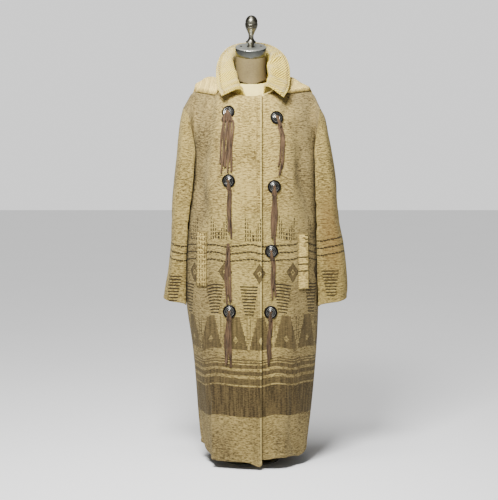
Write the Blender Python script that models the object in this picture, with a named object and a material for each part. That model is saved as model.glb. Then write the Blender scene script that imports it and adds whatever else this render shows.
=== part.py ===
# A long blanket-wool coat with a turned-up collar and a hood lying back, on a limbless dress form.
# Units are metres, +Z is up. X runs across towards the wearer's left side and Y from front to back.
# The origin is on the floor, in the middle of the underside of the form's round base.

import math
from collections import namedtuple

import bmesh
import bpy
import numpy as np
from mathutils import Vector
from mathutils.bvhtree import BVHTree

# Cloth and seams
WALL = 0.0026
SEAM_GAP = 0.0004
SLEEVE_GAP = 0.0006
REST_GAP = 0.0006
LAP_CLEARANCE = 0.0014
SQUARENESS = 2.35

# The coat's main heights and the grid that its panels share
ARMPIT = 1.062
SIDE_HEM = 0.027
TIP_DROP = 0.016
UNDER_HEM_RISE = 0.013
UNDER_HEM_DIP = 0.006
SKIRT_ROWS = 13
CHEST_ROWS = 7
SHARES = 18
SHOULDER_SHARES = 5

# The front edges, as distances from the middle of the body
LAP_EDGE = 0.0365
UNDER_EDGE = -0.035
LAP_EASE = 0.100

# The neckline, an ellipse seen from above that drops towards the front
NECK_HALF_WIDTH = 0.0855
NECK_MIDDLE = 0.012
NECK_FRONT = 0.120
NECK_BACK = 0.062
NECK_POINT_HEIGHT = 1.287
NECK_FRONT_DROP = 0.048
NECK_BACK_RISE = 0.010

ARMHOLE_BOW = 0.085
FORM_ARM_BOW = 0.050

# The order of a place's columns in the tables
PLACE = ("across", "along", "height")

# Half widths to either side of the body and depths in front and behind, by height
SkirtRow = namedtuple("SkirtRow", "height right_side left_side front back")
SKIRT = [
    SkirtRow(0.010, 0.164, 0.184, 0.163, 0.140),
    SkirtRow(0.100, 0.175, 0.197, 0.164, 0.141),
    SkirtRow(0.180, 0.182, 0.207, 0.164, 0.142),
    SkirtRow(0.240, 0.186, 0.213, 0.164, 0.143),
    SkirtRow(0.325, 0.192, 0.220, 0.163, 0.143),
    SkirtRow(0.404, 0.200, 0.225, 0.162, 0.143),
    SkirtRow(0.541, 0.219, 0.229, 0.160, 0.141),
    SkirtRow(0.650, 0.222, 0.229, 0.158, 0.138),
    SkirtRow(0.814, 0.215, 0.225, 0.156, 0.134),
    SkirtRow(0.936, 0.200, 0.223, 0.154, 0.130),
    SkirtRow(1.062, 0.192, 0.220, 0.151, 0.127),
]

# The shoulder seam, from the sleeve's head to the neck point
ShoulderRow = namedtuple("ShoulderRow", "height right_side left_side back")
SHOULDER = [
    ShoulderRow(1.2010, 0.2290, 0.2340, 0.000),
    ShoulderRow(1.2230, 0.2150, 0.2230, 0.001),
    ShoulderRow(1.2440, 0.2000, 0.2090, 0.003),
    ShoulderRow(1.2590, 0.1670, 0.1730, 0.006),
    ShoulderRow(1.2740, 0.1250, 0.1270, 0.009),
    ShoulderRow(NECK_POINT_HEIGHT, NECK_HALF_WIDTH, NECK_HALF_WIDTH, NECK_MIDDLE),
]

# Soft upright folds: the angle round the body, counted from the wearer's left over the back,
# how wide the fold is in degrees, how far it stands out at the hem, and where it fades out
FoldRow = namedtuple("FoldRow", "angle width depth top")
FOLDS = [
    FoldRow(28.0, 13.0, 0.010, 0.80),
    FoldRow(52.0, 11.0, -0.009, 0.90),
    FoldRow(76.0, 13.0, 0.009, 0.98),
    FoldRow(103.0, 12.0, -0.008, 0.92),
    FoldRow(128.0, 14.0, 0.011, 1.00),
    FoldRow(153.0, 12.0, -0.008, 0.80),
    FoldRow(206.0, 10.0, -0.006, 0.60),
    FoldRow(226.0, 12.0, 0.007, 0.75),
    FoldRow(250.0, 13.0, -0.004, 0.65),
    FoldRow(300.0, 12.0, 0.005, 0.80),
    FoldRow(322.0, 12.0, -0.005, 0.85),
    FoldRow(340.0, 10.0, 0.005, 0.75),
]

# Sleeve sections from just under the armhole to the cuff. Each ring hangs between an outer
# place and an inner place beside the body, and is as deep to front and back as its last column
SleeveRow = namedtuple("SleeveRow", "outer_height inner_height outer inner depth")
RIGHT_SLEEVE = [
    SleeveRow(1.168, 1.030, 0.2355, 0.2015, 0.086),
    SleeveRow(1.115, 0.985, 0.2425, 0.2035, 0.087),
    SleeveRow(1.048, 0.945, 0.2470, 0.2065, 0.086),
    SleeveRow(0.975, 0.900, 0.2555, 0.2110, 0.084),
    SleeveRow(0.893, 0.850, 0.2655, 0.2175, 0.082),
    SleeveRow(0.829, 0.800, 0.2690, 0.2225, 0.080),
    SleeveRow(0.758, 0.740, 0.2710, 0.2270, 0.078),
    SleeveRow(0.705, 0.690, 0.2765, 0.2290, 0.077),
    SleeveRow(0.651, 0.640, 0.2825, 0.2295, 0.076),
    SleeveRow(0.605, 0.590, 0.2910, 0.2290, 0.075),
    SleeveRow(0.562, 0.538, 0.2975, 0.2270, 0.073),
]
LEFT_SLEEVE = [
    SleeveRow(1.168, 1.030, 0.2495, 0.2270, 0.086),
    SleeveRow(1.104, 0.985, 0.2620, 0.2285, 0.087),
    SleeveRow(1.027, 0.945, 0.2755, 0.2295, 0.086),
    SleeveRow(0.948, 0.890, 0.2865, 0.2310, 0.084),
    SleeveRow(0.895, 0.850, 0.2895, 0.2320, 0.082),
    SleeveRow(0.845, 0.810, 0.2960, 0.2325, 0.081),
    SleeveRow(0.797, 0.770, 0.3040, 0.2330, 0.080),
    SleeveRow(0.748, 0.730, 0.3150, 0.2345, 0.079),
    SleeveRow(0.684, 0.670, 0.3240, 0.2355, 0.078),
    SleeveRow(0.605, 0.600, 0.3295, 0.2360, 0.077),
    SleeveRow(0.562, 0.533, 0.3260, 0.2355, 0.075),
]
SLEEVE_SQUARENESS = 2.5
SLEEVE_TUCK = 0.013

# The collar, from its right point round the back of the neck to its left point: the line it
# rolls over, close to the form's neck, and then its outer edge
CollarRow = namedtuple(
    "CollarRow", "share roll_across roll_along roll_height edge_across edge_along edge_height"
)
COLLAR = [
    CollarRow(0.00, -0.0300, -0.1200, 1.253, -0.0960, -0.136, 1.240),
    CollarRow(0.07, -0.0370, -0.1000, 1.273, -0.1080, -0.108, 1.262),
    CollarRow(0.15, -0.0450, -0.0700, 1.298, -0.1150, -0.070, 1.302),
    CollarRow(0.24, -0.0620, -0.0250, 1.326, -0.1140, -0.022, 1.345),
    CollarRow(0.33, -0.0680, 0.0200, 1.342, -0.0960, 0.035, 1.390),
    CollarRow(0.42, -0.0420, 0.0560, 1.350, -0.0570, 0.080, 1.420),
    CollarRow(0.50, 0.0000, 0.0660, 1.352, 0.0030, 0.096, 1.429),
    CollarRow(0.58, 0.0430, 0.0560, 1.350, 0.0570, 0.083, 1.422),
    CollarRow(0.67, 0.0700, 0.0200, 1.342, 0.1020, 0.042, 1.395),
    CollarRow(0.76, 0.0660, -0.0250, 1.326, 0.1270, -0.012, 1.352),
    CollarRow(0.85, 0.0590, -0.0700, 1.300, 0.1305, -0.060, 1.298),
    CollarRow(0.93, 0.0520, -0.0980, 1.279, 0.1230, -0.104, 1.260),
    CollarRow(1.00, 0.0460, -0.1170, 1.264, 0.1080, -0.138, 1.236),
]
COLLAR_ROLL = 0.30
COLLAR_STEPS = 28
COLLAR_ROWS = 7
COLLAR_RIGHT_END = -0.0170
COLLAR_LEFT_END = 0.0400
COLLAR_FRONT_ARCH = 0.008

# The hood on the coat's shoulders, by distance from the middle of the back: where the under
# layer starts and where it folds, as a share across the panel and a rise up it (over 1 is in
# front of the shoulder seam), then the crest and the free edge of the upper layer
HoodRow = namedtuple(
    "HoodRow",
    "reach start_share start_rise fold_share fold_rise "
    "crest_across crest_along crest_height edge_across edge_along edge_height",
)
HOOD = [
    HoodRow(0.00, 0.500, 0.955, 0.500, 0.120, 0.000, 0.158, 1.230, 0.000, 0.140, 1.338),
    HoodRow(0.25, 0.410, 0.955, 0.405, 0.140, 0.058, 0.150, 1.235, 0.054, 0.128, 1.332),
    HoodRow(0.45, 0.330, 0.945, 0.325, 0.200, 0.098, 0.118, 1.258, 0.088, 0.092, 1.322),
    HoodRow(0.58, 0.268, 0.980, 0.275, 0.310, 0.117, 0.078, 1.287, 0.104, 0.042, 1.309),
    HoodRow(0.70, 0.255, 1.150, 0.230, 0.450, 0.128, 0.040, 1.303, 0.108, -0.018, 1.289),
    HoodRow(0.80, 0.252, 1.290, 0.195, 0.580, 0.138, 0.016, 1.303, 0.113, -0.052, 1.268),
    HoodRow(0.90, 0.212, 1.200, 0.158, 0.740, 0.160, 0.000, 1.293, 0.150, -0.036, 1.272),
    HoodRow(1.00, 0.150, 1.060, 0.128, 0.900, 0.187, 0.000, 1.281, 0.186, -0.012, 1.277),
]
HOOD_LEFT_WIDENING = 0.010
HOOD_LEFT_DROP = 0.008
HOOD_STEPS = 26
HOOD_UNDER_ROWS = 7
HOOD_UPPER_ROWS = 7
HOOD_LOFT = 0.012
HOOD_START_LIFT = 0.0018
HOOD_LIFT = 0.0025

# Welt pockets: the places of their upper outer and lower inner corners
WELT_WIDTH = 0.034
WELT_THICKNESS = 0.0035
WeltRow = namedtuple("WeltRow", "name top_across bottom_across top bottom")
WELTS = [
    WeltRow("pocket_welt_right", -0.1600, -0.1620, 0.794, 0.612),
    WeltRow("pocket_welt_left", 0.1700, 0.1730, 0.786, 0.602),
]

# Conchos, which are turned from this profile. A tassel's thong comes out of each one's middle
CONCHO_RADIUS = 0.0205
CONCHO_TOP = 0.0058
ConchoRing = namedtuple("ConchoRing", "radius height")
CONCHO_PROFILE = [
    ConchoRing(0.0000, CONCHO_TOP),
    ConchoRing(0.0060, CONCHO_TOP),
    ConchoRing(0.0090, 0.0044),
    ConchoRing(0.0105, 0.0052),
    ConchoRing(0.0130, 0.0050),
    ConchoRing(0.0145, 0.0036),
    ConchoRing(0.0180, 0.0036),
    ConchoRing(CONCHO_RADIUS, 0.0022),
    ConchoRing(CONCHO_RADIUS, 0.0004),
    ConchoRing(0.0190, 0.0000),
    ConchoRing(0.0000, 0.0000),
]
CONCHO_SIDES = 16

# Tassels: a small leather head in front of the concho's middle, and strips that hang over its rim
HEAD_RADIUS = 0.0070
HEAD_THICKNESS = 0.0034
HEAD_SIDES = 12
STRIP_WIDTH = 0.0040
STRIP_THICKNESS = 0.0014
STRIP_PITCH = 0.0044
STRIP_STEPS = 7
STRIP_UNEVENNESS = 0.035
LAYER_STEP = 0.0018
LAYER_SHIFT = 0.3
STRIP_LIFT = 0.0024
STRIP_WAVE = 0.0010

# Where a strip passes in front of its concho: how far below the middle, and how far the
# strip's own middle stands off the disc's back
DrapeRow = namedtuple("DrapeRow", "below off")
DRAPE = [
    DrapeRow(0.0110, 0.0068),
    DrapeRow(0.0210, 0.0050),
    DrapeRow(0.0300, 0.0034),
]

# One row for each tassel: its place, whether a concho covers its head, where its strips end,
# how wide they spread there, how many there are, and how far they bow to the wearer's left
TasselRow = namedtuple("TasselRow", "name across height covered end_across end spread strips bow")
TASSELS = [
    TasselRow("right_1", -0.0735, 1.186, True, -0.0850, 0.985, 0.0380, 6, 0.002),
    TasselRow("right_2", -0.0728, 0.962, True, -0.0710, 0.770, 0.0150, 3, 0.002),
    TasselRow("right_3", -0.0740, 0.752, False, -0.0720, 0.552, 0.0200, 4, -0.003),
    TasselRow("right_4", -0.0703, 0.532, True, -0.0740, 0.345, 0.0260, 4, -0.003),
    TasselRow("left_1", 0.0838, 1.168, True, 0.0930, 0.975, 0.0160, 3, 0.016),
    TasselRow("left_2", 0.0763, 0.943, True, 0.0740, 0.750, 0.0190, 4, 0.002),
    TasselRow("left_3", 0.0680, 0.731, True, 0.0740, 0.572, 0.0150, 3, 0.003),
    TasselRow("left_4", 0.0657, 0.529, True, 0.0600, 0.345, 0.0130, 3, -0.001),
]

# The dress form: a plain, general torso under the coat, then its neck, cap and stand
FormRow = namedtuple("FormRow", "height half_width front back")
FORM = [
    FormRow(0.640, 0.130, 0.080, 0.080),
    FormRow(0.655, 0.165, 0.108, 0.108),
    FormRow(0.720, 0.178, 0.116, 0.120),
    FormRow(0.800, 0.168, 0.110, 0.116),
    FormRow(0.880, 0.140, 0.098, 0.096),
    FormRow(0.960, 0.142, 0.104, 0.092),
    FormRow(ARMPIT, 0.168, 0.134, 0.108),
]
FORM_CHEST_INSET = 0.017
FORM_GAP = 0.0011
FORM_NECK_RADIUS = 0.0515
FORM_NECK_BASE_FRONT = 1.279
FORM_NECK_BASE_BACK = 1.300
FORM_NECK_BASE_MIDDLE = 0.002
NECK_TILT = math.radians(19.0)
CAP_MIDDLE = Vector((0.0, -0.012, 1.4055))
CAP_RADIUS = 0.0525
CAP_THICKNESS = 0.026
CAP_BEVEL = 0.0015
POLE_RADIUS = 0.0130
BASE_RADIUS = 0.096
BASE_THICKNESS = 0.010
BASE_RIM = 0.004
NECK_SIDES = 28
ROUND_SIDES = 40
POLE_SIDES = 20
TORSO_RINGS = (0.640, 0.655, 0.690, 0.740, 0.790, 0.840, 0.890, 0.940, 1.000, 1.035)
TORSO_SIDE_INSET = 0.965

# The finial's profile along the cap's axis, from its foot to its top
FinialRow = namedtuple("FinialRow", "radius height")
FINIAL = [
    FinialRow(0.0150, 0.0000),
    FinialRow(0.0130, 0.0070),
    FinialRow(0.0085, 0.0110),
    FinialRow(0.0070, 0.0160),
    FinialRow(0.0150, 0.0205),
    FinialRow(0.0150, 0.0235),
    FinialRow(0.0104, 0.0290),
    FinialRow(0.0097, 0.0370),
    FinialRow(0.0118, 0.0450),
    FinialRow(0.0162, 0.0550),
    FinialRow(0.0195, 0.0660),
    FinialRow(0.0207, 0.0770),
    FinialRow(0.0200, 0.0840),
    FinialRow(0.0206, 0.0900),
    FinialRow(0.0185, 0.0970),
    FinialRow(0.0135, 0.1045),
    FinialRow(0.0065, 0.1087),
    FinialRow(0.0000, 0.1095),
]
FINIAL_SIDES = 18

# The pole's flared foot, from its underside up to the plain tube
POLE_FOOT = [
    FinialRow(0.0000, 0.0000),
    FinialRow(0.0300, 0.0000),
    FinialRow(0.0280, 0.0100),
    FinialRow(0.0170, 0.0160),
    FinialRow(POLE_RADIUS, 0.0300),
]

# Colours as linear values, then roughness and metallic
MaterialRow = namedtuple("MaterialRow", "colour roughness metallic")
MATERIALS = {
    "wool": MaterialRow((0.50, 0.40, 0.25), 0.90, 0.0),
    "collar_wool": MaterialRow((0.66, 0.56, 0.36), 0.90, 0.0),
    "suede": MaterialRow((0.19, 0.11, 0.07), 0.85, 0.0),
    "concho_metal": MaterialRow((0.30, 0.30, 0.27), 0.35, 1.0),
    "linen": MaterialRow((0.50, 0.38, 0.24), 0.85, 0.0),
    "cap_metal": MaterialRow((0.55, 0.56, 0.50), 0.30, 1.0),
    "finial_metal": MaterialRow((0.22, 0.21, 0.17), 0.40, 1.0),
    "stand_metal": MaterialRow((0.70, 0.69, 0.66), 0.35, 1.0),
}


def clear_scene():
    for item in list(bpy.data.objects):
        bpy.data.objects.remove(item, do_unlink=True)


def new_collection(name):
    collection = bpy.data.collections.new(name)
    bpy.context.scene.collection.children.link(collection)
    return collection


def new_material(name, row):
    material = bpy.data.materials.new(name)
    material.use_nodes = True
    shader = material.node_tree.nodes["Principled BSDF"]
    shader.inputs["Base Color"].default_value = (*row.colour, 1.0)
    shader.inputs["Roughness"].default_value = row.roughness
    shader.inputs["Metallic"].default_value = row.metallic
    return material


def add_object(name, mesh_builder, material, collection):
    """Makes an object of the bmesh and frees it."""
    mesh = bpy.data.meshes.new(name)
    mesh_builder.to_mesh(mesh)
    mesh_builder.free()
    mesh.materials.append(material)
    mesh.shade_smooth()
    mesh.set_sharp_from_angle(angle=math.radians(50))
    item = bpy.data.objects.new(name, mesh)
    collection.objects.link(item)
    return item


def through(places, values, at):
    """The value at a place on a smooth curve through a table's points."""
    if at <= places[0]:
        return values[0]
    if at >= places[-1]:
        return values[-1]
    slopes = np.gradient(values, places)
    i = int(np.searchsorted(places, at)) - 1
    span = places[i + 1] - places[i]
    t = (at - places[i]) / span
    start = values[i] * (2 * t**3 - 3 * t**2 + 1) + slopes[i] * span * (t**3 - 2 * t**2 + t)
    return start + values[i + 1] * (3 * t**2 - 2 * t**3) + slopes[i + 1] * span * (t**3 - t**2)


def table_value(table, key, name, at):
    return through([getattr(row, key) for row in table], [getattr(row, name) for row in table], at)


def curve_point(places, points, at):
    """A point on a smooth curve through a few points."""
    return Vector(through(places, [point[k] for point in points], at) for k in range(3))


def ease(low, high, at):
    """Rises smoothly from 0 at low to 1 at high."""
    t = min(max((at - low) / (high - low), 0.0), 1.0)
    return t * t * (3 - 2 * t)


def rounded(value, squareness):
    """A sine or cosine drawn out towards a rounded rectangle."""
    return math.copysign(abs(value) ** (2 / squareness), value)


def fold_height(angle, height):
    total = 0.0
    for fold in FOLDS:
        growth = max(0.0, (fold.top - height) / (fold.top - SIDE_HEM)) ** 1.2
        total += fold.depth * growth * math.exp(-(((angle - fold.angle) / fold.width) ** 2))
    return total


def skirt_point(angle, height):
    """The coat's outside below the armpit, at an angle in degrees round the body."""
    turn = math.radians(angle)
    side = "left_side" if math.cos(turn) > 0 else "right_side"
    half_width = table_value(SKIRT, "height", side, height)
    depth = table_value(SKIRT, "height", "back" if math.sin(turn) > 0 else "front", height)
    x = half_width * rounded(math.cos(turn), SQUARENESS)
    y = depth * rounded(math.sin(turn), SQUARENESS)
    outward = Vector((x / half_width**2, y / depth**2, 0)).normalized()
    return Vector((x, y, height)) + outward * fold_height(angle, height)


def angle_of(front, share):
    return 180 + 180 * share if front else 180 - 180 * share


def top_point(front, share):
    """The shoulder seam and neckline, from the right sleeve's head (0) to the left one's (1)."""
    shoulder = SHOULDER_SHARES / SHARES
    if shoulder <= share <= 1 - shoulder:
        turn = math.pi * (share - shoulder) / (1 - 2 * shoulder)
        x = -NECK_HALF_WIDTH * math.cos(turn)
        if front:
            along = NECK_MIDDLE - NECK_FRONT * math.sin(turn)
            return Vector((x, along, NECK_POINT_HEIGHT - NECK_FRONT_DROP * math.sin(turn)))
        along = NECK_MIDDLE + NECK_BACK * math.sin(turn)
        return Vector((x, along, NECK_POINT_HEIGHT + NECK_BACK_RISE * math.sin(turn)))
    right = share < 0.5
    step = (share if right else 1 - share) * SHARES
    column = "right_side" if right else "left_side"
    steps = range(len(SHOULDER))
    across = through(steps, [getattr(row, column) for row in SHOULDER], step)
    along = through(steps, [row.back for row in SHOULDER], step)
    height = through(steps, [row.height for row in SHOULDER], step)
    return Vector((-across if right else across, along, height))


def chest_point(front, share, rise, arm_bow=ARMHOLE_BOW):
    """The coat's outside above the armpit: rise is 0 there and 1 at the shoulder seam."""
    bottom = skirt_point(angle_of(front, share), ARMPIT)
    top = top_point(front, share)
    turn = rise * math.pi / 2
    sign = -1 if front else 1
    from_side = max(0.0, 1 - SHARES * min(share, 1 - share) / 3)
    bow = sign * arm_bow * from_side**2 * math.sin(math.pi * min(rise, 1.0)) ** 0.8
    x = bottom.x + (top.x - bottom.x) * (1 - math.cos(turn))
    y = top.y + (bottom.y - top.y) * math.cos(turn) + bow
    z = bottom.z + (top.z - bottom.z) * math.sin(turn)
    return Vector((x, y, z))


def hem_height(front, share, under=False):
    """The hem: the outer front drops to a tip at its edge, and the under front rises a little."""
    if not front:
        return SIDE_HEM
    x = skirt_point(angle_of(front, share), SIDE_HEM).x
    if under:
        rise = UNDER_HEM_RISE * ease(0.175, 0.125, x)
        return SIDE_HEM + rise - UNDER_HEM_DIP * ease(0.085, 0.045, x)
    return SIDE_HEM - TIP_DROP * ease(-0.015, LAP_EDGE, x)


def coat_point(front, share, row, under=False):
    """A point of a panel's outer grid. Rows count up from the hem to the armpit and the top."""
    if row <= SKIRT_ROWS:
        hem = hem_height(front, share, under)
        return skirt_point(angle_of(front, share), hem + (ARMPIT - hem) * row / SKIRT_ROWS)
    return chest_point(front, share, (row - SKIRT_ROWS) / CHEST_ROWS)


def share_at(across, row, under=False):
    """The share across the front at which a row reaches a distance from the middle."""
    low, high = 0.3, 0.7
    for _ in range(40):
        middle = (low + high) / 2
        if coat_point(True, middle, row, under).x < across:
            low = middle
        else:
            high = middle
    return (low + high) / 2


def grid_normals(grid):
    down = np.gradient(grid, axis=0)
    across = np.gradient(grid, axis=1)
    normals = np.cross(across, down)
    lengths = np.linalg.norm(normals, axis=2, keepdims=True)
    return normals / np.maximum(lengths, 1e-12)


def flatten(normals, place, axis):
    """Lays a normal at right angles to an axis, so that a wall's edge meets its neighbour's."""
    normals[place + (axis,)] = 0.0
    normals[place] /= np.linalg.norm(normals[place])


def wall_mesh(outer, inner):
    """A closed wall between two grids of the same size, open sheets with a rim all round."""
    built = bmesh.new()
    rows, columns = outer.shape[:2]
    front = [[built.verts.new(outer[j, i]) for i in range(columns)] for j in range(rows)]
    back = [[built.verts.new(inner[j, i]) for i in range(columns)] for j in range(rows)]
    for j in range(rows - 1):
        for i in range(columns - 1):
            built.faces.new((front[j][i], front[j][i + 1], front[j + 1][i + 1], front[j + 1][i]))
            built.faces.new((back[j][i], back[j + 1][i], back[j + 1][i + 1], back[j][i + 1]))
    for i in range(columns - 1):
        built.faces.new((front[0][i + 1], front[0][i], back[0][i], back[0][i + 1]))
        built.faces.new((front[-1][i], front[-1][i + 1], back[-1][i + 1], back[-1][i]))
    for j in range(rows - 1):
        built.faces.new((front[j][0], front[j + 1][0], back[j + 1][0], back[j][0]))
        built.faces.new((front[j + 1][-1], front[j][-1], back[j][-1], back[j + 1][-1]))
    bmesh.ops.recalc_face_normals(built, faces=built.faces)
    return built


def ring_mesh(outer, inner):
    """A closed wall between two grids whose rows are rings: a tube with two open ends."""
    built = bmesh.new()
    rows, columns = outer.shape[:2]
    front = [[built.verts.new(outer[j, i]) for i in range(columns)] for j in range(rows)]
    back = [[built.verts.new(inner[j, i]) for i in range(columns)] for j in range(rows)]
    for i in range(columns):
        n = (i + 1) % columns
        for j in range(rows - 1):
            built.faces.new((front[j][i], front[j][n], front[j + 1][n], front[j + 1][i]))
            built.faces.new((back[j][i], back[j + 1][i], back[j + 1][n], back[j][n]))
        built.faces.new((front[0][n], front[0][i], back[0][i], back[0][n]))
        built.faces.new((front[-1][i], front[-1][n], back[-1][n], back[-1][i]))
    bmesh.ops.recalc_face_normals(built, faces=built.faces)
    return built


def lap_depth(across):
    """How far the under front lies behind the coat's outside, easing out beyond the lap."""
    return (WALL + LAP_CLEARANCE) * (1 - ease(LAP_EDGE + 0.006, LAP_EASE, across))


def panel_grids(front, start, edge=None, under=False):
    """A panel's outer and inner grids. Its seams are set back by half a seam gap each."""
    rows = SKIRT_ROWS + CHEST_ROWS
    grid = []
    for row in range(rows + 1):
        end = 1 - start if edge is None else share_at(edge, row, under)
        if edge is None:
            shares = [start + (end - start) * i / SHARES for i in range(SHARES + 1)]
        else:
            count = SHARES // 2 + 1
            step = 1 / SHARES if start == 0 else -1 / SHARES
            shares = [start + step * i for i in range(count)] + [end]
        grid.append([coat_point(front, share, row, under) for share in shares])
    outer = np.array(grid)
    setback = (-1 if front else 1) * SEAM_GAP / 2
    outer[: SKIRT_ROWS + 1, 0, 1] += setback
    outer[-1, : SHOULDER_SHARES + 1, 1] += setback
    if edge is None:
        outer[: SKIRT_ROWS + 1, -1, 1] += setback
        outer[-1, -SHOULDER_SHARES - 1 :, 1] += setback
    normals = grid_normals(outer)
    outward = outer.copy()
    outward[:, :, 2] = 0.02
    facing = np.sum(normals * outward, axis=2, keepdims=True)
    normals *= np.sign(facing[SKIRT_ROWS // 2, SHARES // 4])
    for row in range(SKIRT_ROWS + 1):
        flatten(normals, (row, 0), 1)
        if edge is None:
            flatten(normals, (row, -1), 1)
    for i in range(SHOULDER_SHARES + 1):
        flatten(normals, (-1, i), 1)
        if edge is None:
            flatten(normals, (-1, -1 - i), 1)
    if under:
        depths = np.vectorize(lap_depth)(outer[:, :, 0])
        outer = outer - normals * depths[:, :, None]
    return outer, outer - normals * WALL


def armhole_ring(front_grid, back_grid, end):
    """The ring of points round an armhole: up its front from the armpit, then down its back."""
    up = front_grid[SKIRT_ROWS:, 0]
    down = back_grid[SKIRT_ROWS:, end][::-1]
    ring = np.concatenate([up, down[1:-1]])
    ring[0, 1] = 0.0
    ring[CHEST_ROWS, 1] = 0.0
    return ring


def sleeve_grids(table, sign, head_outer, head_inner):
    """A sleeve's rings, from the armhole's own ring down to the cuff."""
    count = 2 * CHEST_ROWS
    shift = np.array([sign * SLEEVE_GAP, 0.0, 0.0])
    rings = [head_outer + shift]
    for row in table:
        outer_place = Vector((sign * row.outer, 0, row.outer_height))
        inner_place = Vector((sign * row.inner, 0, row.inner_height))
        middle = (outer_place + inner_place) / 2
        half = (outer_place - inner_place) / 2
        ring = []
        for i in range(count):
            turn = 2 * math.pi * i / count
            reach = -rounded(math.cos(turn), SLEEVE_SQUARENESS)
            along = -row.depth * rounded(math.sin(turn), SLEEVE_SQUARENESS)
            tuck = -sign * SLEEVE_TUCK * (along / row.depth) ** 2 * (1 - reach) / 2 * (along < 0)
            ring.append(middle + half * reach + Vector((tuck, along, 0)))
        rings.append(ring)
    outer = np.array(rings)
    closed = np.concatenate([outer[:, -1:], outer, outer[:, :1]], axis=1)
    normals = grid_normals(closed)[:, 1:-1]
    from_middle = outer - outer.mean(axis=1, keepdims=True)
    normals *= np.sign(np.sum(normals[5] * from_middle[5]))
    inner = outer - normals * WALL
    inner[0] = head_inner + shift
    return outer, inner


def neck_turn(across):
    """The angle round the neckline, from a neck point, at a distance from the middle."""
    return math.acos(max(-1.0, min(1.0, across / NECK_HALF_WIDTH)))


def collar_seam(share):
    """A point of the collar's seam, from its right end round the back of the neck to its left."""
    right_turn = neck_turn(-COLLAR_RIGHT_END)
    left_turn = neck_turn(COLLAR_LEFT_END)
    front_part = 0.26
    shoulder = SHOULDER_SHARES / SHARES
    if share < front_part:
        turn = right_turn * (1 - share / front_part)
        return top_point(True, shoulder + (1 - 2 * shoulder) * turn / math.pi)
    if share > 1 - front_part:
        turn = left_turn * (share - 1 + front_part) / front_part
        return top_point(True, 1 - shoulder - (1 - 2 * shoulder) * turn / math.pi)
    turn = math.pi * (share - front_part) / (1 - 2 * front_part)
    return top_point(False, shoulder + (1 - 2 * shoulder) * turn / math.pi)


def collar_grids():
    rows = []
    for j in range(COLLAR_ROWS + 1):
        along_width = j / COLLAR_ROWS
        row = []
        for i in range(COLLAR_STEPS + 1):
            share = i / COLLAR_STEPS
            seam = collar_seam(share)
            inward = Vector((-seam.x, -seam.y, 0)).normalized()
            seam = seam + inward * WALL / 2 + Vector((0, 0, 2 * REST_GAP))
            roll = Vector(table_value(COLLAR, "share", "roll_" + name, share) for name in PLACE)
            edge = Vector(table_value(COLLAR, "share", "edge_" + name, share) for name in PLACE)
            near_front = max(ease(0.20, 0.0, share), ease(0.80, 1.0, share))
            point = curve_point((0, COLLAR_ROLL, 1), (seam, roll, edge), along_width)
            point.z += COLLAR_FRONT_ARCH * near_front * math.sin(math.pi * along_width)
            row.append(point)
        rows.append(row)
    middle = np.array(rows)
    normals = grid_normals(middle)
    outward = middle.copy()
    outward[:, :, 2] = -0.05
    normals *= np.sign(np.sum(normals[2, COLLAR_STEPS // 2] * outward[2, COLLAR_STEPS // 2]))
    for i in range(COLLAR_STEPS + 1):
        flatten(normals, (0, i), 2)
    return middle + normals * WALL / 2, middle - normals * WALL / 2


def shoulder_point(share, rise):
    """The coat's outside on the back, going on over the shoulder seam where rise is over 1."""
    if rise > 1:
        return chest_point(True, share, 2 - rise)
    return chest_point(False, share, rise)


def shoulder_normal(share, rise):
    step = 0.01
    across = shoulder_point(share + step, rise) - shoulder_point(share - step, rise)
    up = shoulder_point(share, rise + step) - shoulder_point(share, rise - step)
    normal = across.cross(up).normalized()
    return normal if normal.z + 0.4 * normal.y > 0 else -normal


def hood_grids():
    """The hood's two layers in one sheet: down from its seam, round the fold, and up again."""
    columns = []
    for i in range(HOOD_STEPS + 1):
        side = 2 * i / HOOD_STEPS - 1
        sign = -1 if side < 0 else 1
        reach = abs(side)
        names = HoodRow._fields[1:]
        values = {name: table_value(HOOD, "reach", name, reach) for name in names}
        start_share, fold_share = values["start_share"], values["fold_share"]
        if sign > 0:
            start_share, fold_share = 1 - start_share, 1 - fold_share
        column = []
        for j in range(HOOD_UNDER_ROWS):
            t = j / (HOOD_UNDER_ROWS - 1)
            share = start_share + (fold_share - start_share) * t
            rise = values["start_rise"] + (values["fold_rise"] - values["start_rise"]) * t
            clear = WALL / 2 + (HOOD_START_LIFT if j == 0 else HOOD_LIFT)
            column.append(shoulder_point(share, rise) + shoulder_normal(share, rise) * clear)
        share, rise = fold_share, values["fold_rise"]
        base = shoulder_point(share, rise)
        outward = shoulder_normal(share, rise)
        down = (column[-1] - column[-2]).normalized()
        column.append(base + outward * (WALL + HOOD_LOFT * 0.55) + down * 0.010)
        start = base + outward * (WALL + HOOD_LOFT)
        widening = HOOD_LEFT_WIDENING * max(side, 0)
        crest, end = (Vector(values[place + "_" + name] for name in PLACE) for place in ("crest", "edge"))
        for point in (crest, end):
            point.x = sign * point.x + widening
        crest.z -= HOOD_LEFT_DROP * max(side, 0)
        for j in range(HOOD_UPPER_ROWS):
            t = j / (HOOD_UPPER_ROWS - 1)
            stages = (start, crest, end)
            column.append(curve_point((0, 0.5, 1), stages, t))
        columns.append(column)
    middle = np.array(columns).transpose(1, 0, 2)
    normals = grid_normals(middle)
    return middle + normals * WALL / 2, middle - normals * WALL / 2


def front_trees(grids):
    """For each front, the lookup tree of its outer faces."""
    trees = []
    for outer in grids:
        rows, columns = outer.shape[:2]
        points = [Vector(outer[j, i]) for j in range(rows) for i in range(columns)]
        faces = []
        for j in range(rows - 1):
            for i in range(columns - 1):
                a = j * columns + i
                faces.append((a, a + 1, a + columns + 1))
                faces.append((a, a + columns + 1, a + columns))
        trees.append(BVHTree.FromPolygons(points, faces))
    return trees


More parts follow.
